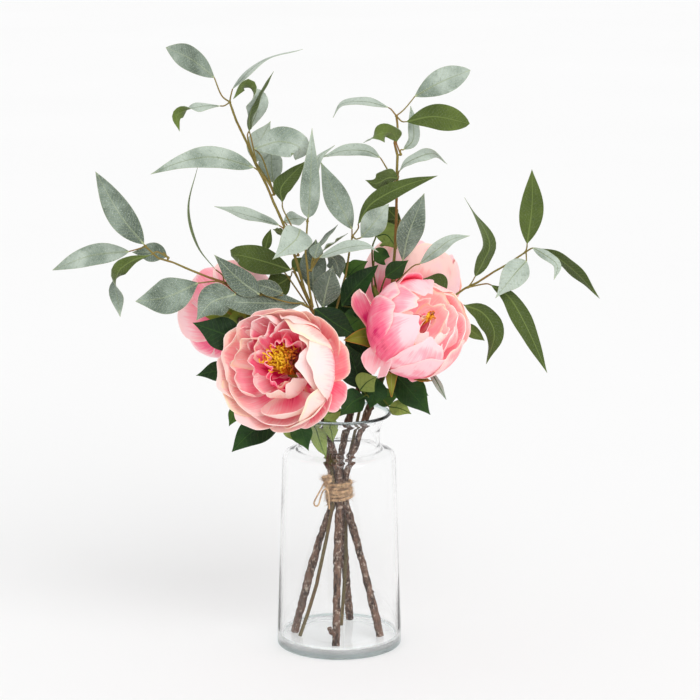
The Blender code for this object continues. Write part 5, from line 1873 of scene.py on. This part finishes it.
OPEN_OUTLINES = {
    "outer": [(8, 0.6), (30, 4.5), (50, 15), (60, 28), (66, 42)],
    "flat": [(8, 1.0), (30, 6), (50, 14), (62, 22), (71, 30)],
    "second": [(8, 1.5), (28, 6.5), (46, 17), (55, 32), (56, 50)],
    "cup": [(8, 2.1), (26, 8.5), (41, 20), (48, 38), (45, 56)],
    "wall": [(8, 2.4), (30, 8), (47, 20), (53, 38), (47, 56), (36, 66)],
    "closed": [(8, 2.8), (26, 9), (41, 21), (46, 38), (38, 55), (22, 64)],
    "heart": [(7, 3.6), (18, 11.5), (28, 24), (32, 38), (29, 52)],
    "fan": [(6, 4.0), (16, 11), (25, 22), (28, 36), (21, 49), (9, 55)],
    "frill": [(6, 4.2), (12, 12), (17, 22), (18, 33), (14, 43)],
}
GLOBE_OUTLINES = {
    "outer": [(9, 0.6), (34, 8), (48, 25), (52, 48), (46, 70), (36, 80)],
    "flare": [(9, 0.6), (33, 8), (46, 25), (50, 48), (50, 66), (54, 76)],
    "closed": [(9, 1.2), (33, 10), (47, 28), (50, 50), (41, 72), (20, 86), (4, 89)],
    "cup": [(9, 2.1), (29, 12.5), (42, 31), (45, 54), (38, 77)],
    "heart": [(8, 3.6), (21, 14.5), (33, 32), (37, 54), (31, 77)],
    "frill": [(6, 4.2), (15, 14), (24, 30), (27, 52), (21, 76)],
    "core": [(6, 4.6), (9, 14), (13, 30), (13, 50), (4, 73)],
}

FRONT_PETALS = {
    "outer_petals": [
        Petal(-120, 27, "outer", 1.02, -0.25, lean=-1), Petal(-150, 32, "outer", 0.96, -0.15),
        Petal(190, 32, "outer", 1.04, -0.05, 1.6, curl=-0.4), Petal(157, 32, "outer", 1.0, 0.15, 1.5),
        Petal(122, 34, "outer", 0.9, 0.25, 1.5), Petal(78, 34, "outer", 0.84, 0.05, notch=0.06),
        Petal(48, 30, "outer", 0.9, 0.25), Petal(18, 27, "flat", 0.89, 0.45, point=0.3, peach=-0.6),
        Petal(-23, 19, "flat", 0.96, 0.55, lap=-1.5, peach=-1.0), Petal(-50, 30, "outer", 0.78, 0.3, lean=2),
        Petal(-84, 28, "outer", 0.8, -0.05)],
    "cup_petals": [
        Petal(168, 38, "second", 0.98, 0.1, 3.2), Petal(132, 34, "second", 0.95, 0.25, 3.4),
        Petal(98, 34, "second", 0.96, 0.0, 1.6), Petal(-58, 34, "second", 0.9, 0.1),
        Petal(-96, 40, "second", 0.88, -0.1, curl=-0.6), Petal(-146, 36, "second", 0.88, 0.0),
        Petal(156, 26, "cup", 0.98, 0.0, 4.6), Petal(118, 26, "cup", 0.95, 0.2, 4.4),
        Petal(136, 22, "cup", 0.86, 0.8, 4.6), Petal(196, 28, "cup", 0.88, 0.2, 3.8),
        Petal(60, 36, "wall", 0.93, 0.0, curl=-0.5), Petal(14, 44, "wall", 0.98, 0.0),
        Petal(-34, 36, "wall", 0.86, 0.0), Petal(-80, 42, "cup", 0.88, -0.15, curl=-0.9)],
    "heart_petals": [
        Petal(38, 34, "closed", 0.86, 0.0, up=6), Petal(4, 36, "closed", 0.98, -0.05, up=4),
        Petal(72, 32, "closed", 0.8, -0.1, 1.4, up=10), Petal(-46, 34, "fan", 0.84, -0.2, up=1),
        Petal(-92, 36, "fan", 0.78, -0.15), Petal(-136, 34, "heart", 0.76, 0.05, up=3),
        Petal(180, 30, "heart", 0.8, 0.75, 3.4, up=6), Petal(152, 28, "heart", 0.9, 0.5, 3.8, up=8),
        Petal(126, 26, "heart", 0.98, 0.85, 3.8, up=9), Petal(104, 26, "heart", 1.0, 0.5, 3.2, up=10),
        Petal(84, 28, "heart", 0.98, 0.3, 1.8, up=10), Petal(-120, 34, "frill", 0.92, 1.6, 3.0, up=3),
        Petal(-165, 30, "frill", 0.96, 1.6, 3.0, up=6), Petal(158, 28, "frill", 0.9, 1.5, 2.6, up=9),
        Petal(-80, 32, "frill", 0.86, 1.5, 3.0, up=2), Petal(-45, 30, "frill", 0.8, 1.0, 2.6, up=3),
        Petal(116, 30, "frill", 1.0, 1.4, 2.4, up=12), Petal(75, 30, "frill", 1.0, 1.3, 2.4, up=12)],
}

RIGHT_PETALS = {
    "outer_petals": [
        Petal(10, 36, "outer", 0.94, -0.6, 1.2, peach=0.6), Petal(55, 38, "closed", 0.8, -0.1),
        Petal(98, 34, "flare", 0.97, 0.25, 0.7, curl=-1.4), Petal(-50, 44, "outer", 0.84, -0.1, 1.4, lean=-4),
        Petal(138, 30, "outer", 0.95, 0.2), Petal(165, 32, "outer", 0.95, 0.25, 0.7),
        Petal(-95, 40, "outer", 0.84, 0.05, lean=-3)],
    "cup_petals": [
        Petal(-20, 42, "cup", 0.94, -0.05, 1.4, peach=0.6), Petal(30, 42, "cup", 1.0, -0.05, 1.4, peach=0.6),
        Petal(42, 35, "closed", 0.8, -0.15), Petal(94, 35, "closed", 0.9, -0.1),
        Petal(146, 35, "closed", 0.89, 0.0), Petal(198, 35, "closed", 0.87, -0.05),
        Petal(250, 35, "closed", 0.8, -0.15, 1.2), Petal(302, 35, "closed", 0.7, -0.15)],
    "heart_petals": [
        *(Petal(clock, 38, "heart", 0.97, -0.1, 1.8, peach=0.7) for clock in range(0, 360, 52)),
        *(Petal(clock, 44, "frill", 0.97, -0.1, 2.6, peach=0.8) for clock in range(20, 380, 70)),
        *(Petal(clock, 60, "core", 0.98, 0.25, 2.4, peach=0.25) for clock in (60, 180, 300))],
}


def ring_of(count: int, spread: float, whorl: str, blush: float, draw: random.Random,
            ruffle: float = 1.0) -> list[Petal]:
    """Petals evenly round a bloom, each a little different.

    Args:
        count: How many there are.
        spread: Their half width in degrees.
        whorl: The outline that they follow.
        blush: How pink they are.
        draw: Where the random numbers come from.
        ruffle: How wavy their rims are.

    Returns:
        The petals.
    """
    return [
        Petal(360 * k / count + draw.uniform(-7, 7), spread, whorl, draw.uniform(0.93, 1.03),
              curl=draw.uniform(-0.5, 0.5), ruffle=ruffle, blush=blush + draw.uniform(-0.12, 0.12))
        for k in range(count)]


RIGHT_LOOSE = {
    "outer_petals": [
        LoosePetal((36, -31.5, 322.1), [(34, -34, 328), (28, -36, 348), (18, -30, 370)], 32,
                   (-0.8, -0.6, 0), blush=0.6),
        LoosePetal((50, -44, 325), [(48, -54, 322), (41, -61, 308), (34, -61, 290)], 44,
                   (-0.5, -0.75, -0.3), blush=0.35, notch=0.35),
        LoosePetal((64, -26, 301), [(68, -30, 298), (76, -34, 290), (84, -37, 284)], 24,
                   (0.2, -0.9, -0.4), blush=0.95)],
    "calyx": [
        LoosePetal((46, -14, 311), [(40, -18, 317), (24, -30, 323), (5, -36, 321)], 20, (-0.1, -1, 0.35),
                   blunt=0.0),
        LoosePetal((58, -11, 307.5), [(54, -22, 298), (52, -34, 284), (52, -38, 264)], 14,
                   (0.1, -1, 0.1), blunt=0.0)],
}

SHAPER = random.Random(7)
BLOOMS = {
    "front": Bloom("front", Vector((-43, -41, 289)), Vector((-0.32, -0.90, 0.27)).normalized(), 1.0,
                   OPEN_OUTLINES, FRONT_PETALS, (9.0, 38.0), 17.0, -0.14, 11.0),
    "right": Bloom("right", Vector((60, -14, 310)), Vector((0.40, -0.72, 0.57)).normalized(), 0.965,
                   GLOBE_OUTLINES, RIGHT_PETALS, (46.0, 72.0), 1.2, 0.41, stamen_count=22, cool=1.0,
                   loose=RIGHT_LOOSE),
    "left": Bloom("left", Vector((-101, -9, 338)), Vector((-0.35, 0.90, 0.10)).normalized(), 0.8,
                  OPEN_OUTLINES, {
                      "outer_petals": ring_of(7, 38, "outer", 0.28, SHAPER),
                      "cup_petals": [*ring_of(7, 38, "cup", 0.4, SHAPER),
                                     *ring_of(5, 42, "heart", 0.6, SHAPER, 1.8)],
                  }, (9.0, 36.0), 15.0, 0.14, cool=1.0),
    "back": Bloom("back", Vector((61, 36, 330)), Vector((0.30, 0.45, 0.84)).normalized(), 0.94,
                  GLOBE_OUTLINES, {
                      "outer_petals": ring_of(7, 40, "outer", 0.0, SHAPER),
                      "cup_petals": [*ring_of(6, 44, "cup", 0.05, SHAPER),
                                     *ring_of(5, 44, "heart", 0.2, SHAPER, 1.8)],
                  }, blush=-0.15, cool=1.0),
}
PETAL_CLOTH = PetalCloth("petal_cloth")


# ---- twine


BOW_ROUTE = [
    (-14.9, -9.1, 169.2), (-18.2, -10.5, 163), (-21.6, -11.2, 157), (-24.4, -11.6, 151.5),
    (-25.2, -11.9, 148.2), (-23.6, -12.2, 145.9), (-21.2, -12.5, 146.6), (-19.8, -12.8, 150),
    (-18.3, -13.2, 156), (-16.4, -13.9, 161.5), (-13.9, -14.9, 164.4), (-11.4, -15.8, 162.9),
    (-10.4, -16, 158.5), (-10.2, -15.7, 151), (-9.7, -15.2, 143.5),
]


@dataclass
class Twine:
    """Jute twine: a band of wraps round the stems with its knot, and the loose loop and tail below it."""

    turns: int = 6
    strand: float = 1.62
    radius: float = 11.8
    bow_diameter: float = 1.8
    step: float = 0.00035
    knot_at: Point = (-12.2, -8.4, 172.0)

    def _tree(self) -> GrowthTree:
        """Three twisted strands along a line, with short hairs.

        Returns:
            The tree; Girth is the whole twine's radius, Lay the length of one full twist.
        """
        tree = GrowthTree("twisted_twine", Girth=0.0009, Lay=0.006, Hairs=0.0, Hair=0.002, Seed=5)
        girth, seed = tree.given("Girth"), tree.given("Seed")
        run = tree.node("GeometryNodeSplineParameter", out="Length")
        curve = tree.node("GeometryNodeSetCurveTilt", {
            "Curve": tree.curves(self.step), "Tilt": run * (2 * pi) / tree.given("Lay")})
        ring = tree.ring(10, girth * 0.47)
        strands = []
        for k in range(3):
            turn = 2 * pi * k / 3
            place = tree.node("ShaderNodeCombineXYZ", {0: girth * (0.54 * cos(turn)),
                                                       1: girth * (0.54 * sin(turn))})
            moved = tree.node("GeometryNodeTransform", {"Geometry": ring, "Translation": place})
            strands.append(tree.tube(curve, moved))
        grain = tree.node("ShaderNodeTexNoise", {"Scale": 1500.0, "Detail": 2.0})
        twine = tree.pushed(tree.joined(*strands), (grain - 0.5) * girth * 0.34)
        scatter = tree.node("GeometryNodeDistributePointsOnFaces",
                            {"Mesh": twine, "Density": tree.given("Hairs"), "Seed": seed},
                            {"distribute_method": "RANDOM"})
        facing = Wire(tree.tree, scatter.socket.node.outputs["Rotation"])
        hair = tree.tube(tree.arc(4, (0.0, 0.0, 0.0), (0.55, 0.0, 0.25), (1.0, 0.15, 0.55)),
                         tree.ring(3, 0.034))
        size = tree.chance(tree.given("Hair") * 0.4, tree.given("Hair"), seed)
        fuzz = tree.planted(scatter, hair, facing, size, seed + 1)
        return tree.close(tree.joined(twine, fuzz))

    def _wraps(self) -> list[Vector]:
        """Go round the stems, turn beside turn.

        Returns:
            The line in millimetres.
        """
        draw = random.Random(31)
        steps = 28
        low = TIE_HEIGHT - TIE_WIDTH / 2 + self.strand
        pitch = (TIE_WIDTH - 2 * self.strand) / self.turns
        line = []
        for k in range(self.turns * steps + 1):
            share = k / steps
            turn = 2 * pi * share + 2.4
            out = self.radius + 0.55 * sin(2.3 * share + 1) + 0.35 * sin(turn * 3.1)
            rise = low + pitch * share + 1.2 * sin(turn + 1.7 * share) * sin(pi * share / self.turns)
            rise += draw.uniform(-0.1, 0.1)
            line.append(Vector((out * cos(turn), out * sin(turn), rise)))
        return line

    def _knot(self) -> list[Vector]:
        """Tie the knot: a trefoil, drawn tight.

        Returns:
            Its line in millimetres.
        """
        line = []
        for k in range(73):
            t = 2 * pi * k / 72
            bend = Vector((sin(t) + 2 * sin(2 * t), cos(t) - 2 * cos(2 * t), -sin(3 * t)))
            line.append(Vector(self.knot_at) + Vector((bend.x * 1.5, bend.z * 2.6, bend.y * 1.9)))
        return line

    def _pulled_end(self) -> list[Vector]:
        """The line of the end that comes down from the knot over the wraps."""
        return smooth_line([(-12.5, -9.0, 171.0), (-12.6, -10.6, 166.0), (-12.2, -11.0, 158.0),
                            (-11.2, -11.2, 151.0), (-10.8, -10.2, 146.5)], 6)

    def bow(self) -> Piece:
        """Make the free cord.

        Returns:
            The loose loop and the tail.
        """
        line = smooth_line(BOW_ROUTE, 2)
        piece = self._tree().grow("twine_bow_cord", line_mesh([(line, ())]), Jute("jute"),
                                  Girth=0.5 * self.bow_diameter * MM, Lay=0.0052, Hairs=0.0)
        hand_over(piece, "jute", "twine_bow")
        tuple(line[0] * MM)
        length_of(line) * MM
        [tuple(point * MM) for point in line]
        return piece

    def wrap(self) -> Piece:
        """Make the tie.

        Returns:
            The band and its knot.
        """
        lines = [(line, ()) for line in (self._wraps(), self._knot(), self._pulled_end())]
        piece = self._tree().grow("twine_wrap_band", line_mesh(lines), Jute("jute"),
                                  Girth=self.strand * MM, Lay=0.0082, Hairs=260000.0, Hair=0.0042)
        return hand_over(piece, "jute", "twine_wrap")


# ---- studio


@dataclass
class Studio:
    """Pale floor, soft light and the camera."""

    eye: Point = (0.011, -2.42, 0.786)
    pitch: float = 11.27
    lens: float = 126.8
    floor_side: float = 60.0
    horizon: float = 0.98
    zenith: float = 0.72
    key: float = 1.5
    key_width: float = 50.0
    key_turn: Point = (50.0, 0.0, 28.0)

    def camera(self) -> None:
        """Aim the camera at the vase from the front and a little above."""
        lens = bpy.data.cameras.new("camera")
        lens.lens, lens.sensor_width, lens.clip_end = self.lens, 36.0, 200.0
        camera = bpy.data.objects.new("camera", lens)
        camera.location = self.eye
        camera.rotation_euler = (radians(90 - self.pitch), 0.0, 0.0)
        bpy.context.scene.collection.objects.link(camera)
        bpy.context.scene.camera = camera

    def floor(self) -> None:
        """Lay the floor."""
        half = self.floor_side / 2
        mesh = bpy.data.meshes.new("studio_floor")
        mesh.from_pydata([(-half, -half, 0), (half, -half, 0), (half, half, 0), (-half, half, 0)], [],
                         [(0, 1, 2, 3)])
        mesh.materials.append(PaleFloor("pale_floor").material())
        placed("studio_floor", mesh)
        LOG.info("studio_floor: %d face", len(mesh.polygons))

    def light(self) -> None:
        """A white surround and one broad key from the upper right."""
        world = bpy.data.worlds.new("surround")
        world.use_nodes = True
        tree = Tree(world.node_tree)
        way = tree.node("ShaderNodeTexCoord", out="Generated")
        rise = tree.node("ShaderNodeSeparateXYZ", {0: way}, out=2)
        level = abs(rise).between(0.0, 0.75)
        background = world.node_tree.nodes["Background"]
        plug(world.node_tree, background.inputs["Color"],
             tree.mix((self.horizon,) * 3, (self.zenith,) * 3, level))
        bpy.context.scene.world = world
        sun = bpy.data.lights.new("key", "SUN")
        sun.energy, sun.angle = self.key, radians(self.key_width)
        lamp = bpy.data.objects.new("key", sun)
        lamp.rotation_euler = tuple(radians(angle) for angle in self.key_turn)
        bpy.context.scene.collection.objects.link(lamp)
        bpy.context.scene.view_settings.view_transform = "Standard"


def main() -> None:
    """Build the arrangement in order."""
    studio = Studio()
    studio.camera()
    twine = Twine()
    twine.bow()
    studio.floor()
    studio.light()
    Vase().build()
    stems = Stems()
    stems.build()
    Foliage(stems).build()
    for flower in BLOOMS.values():
        flower.build()
    twine.wrap()


if __name__ == "__main__":
    logging.basicConfig(level=logging.INFO, format="%(message)s")
    main()
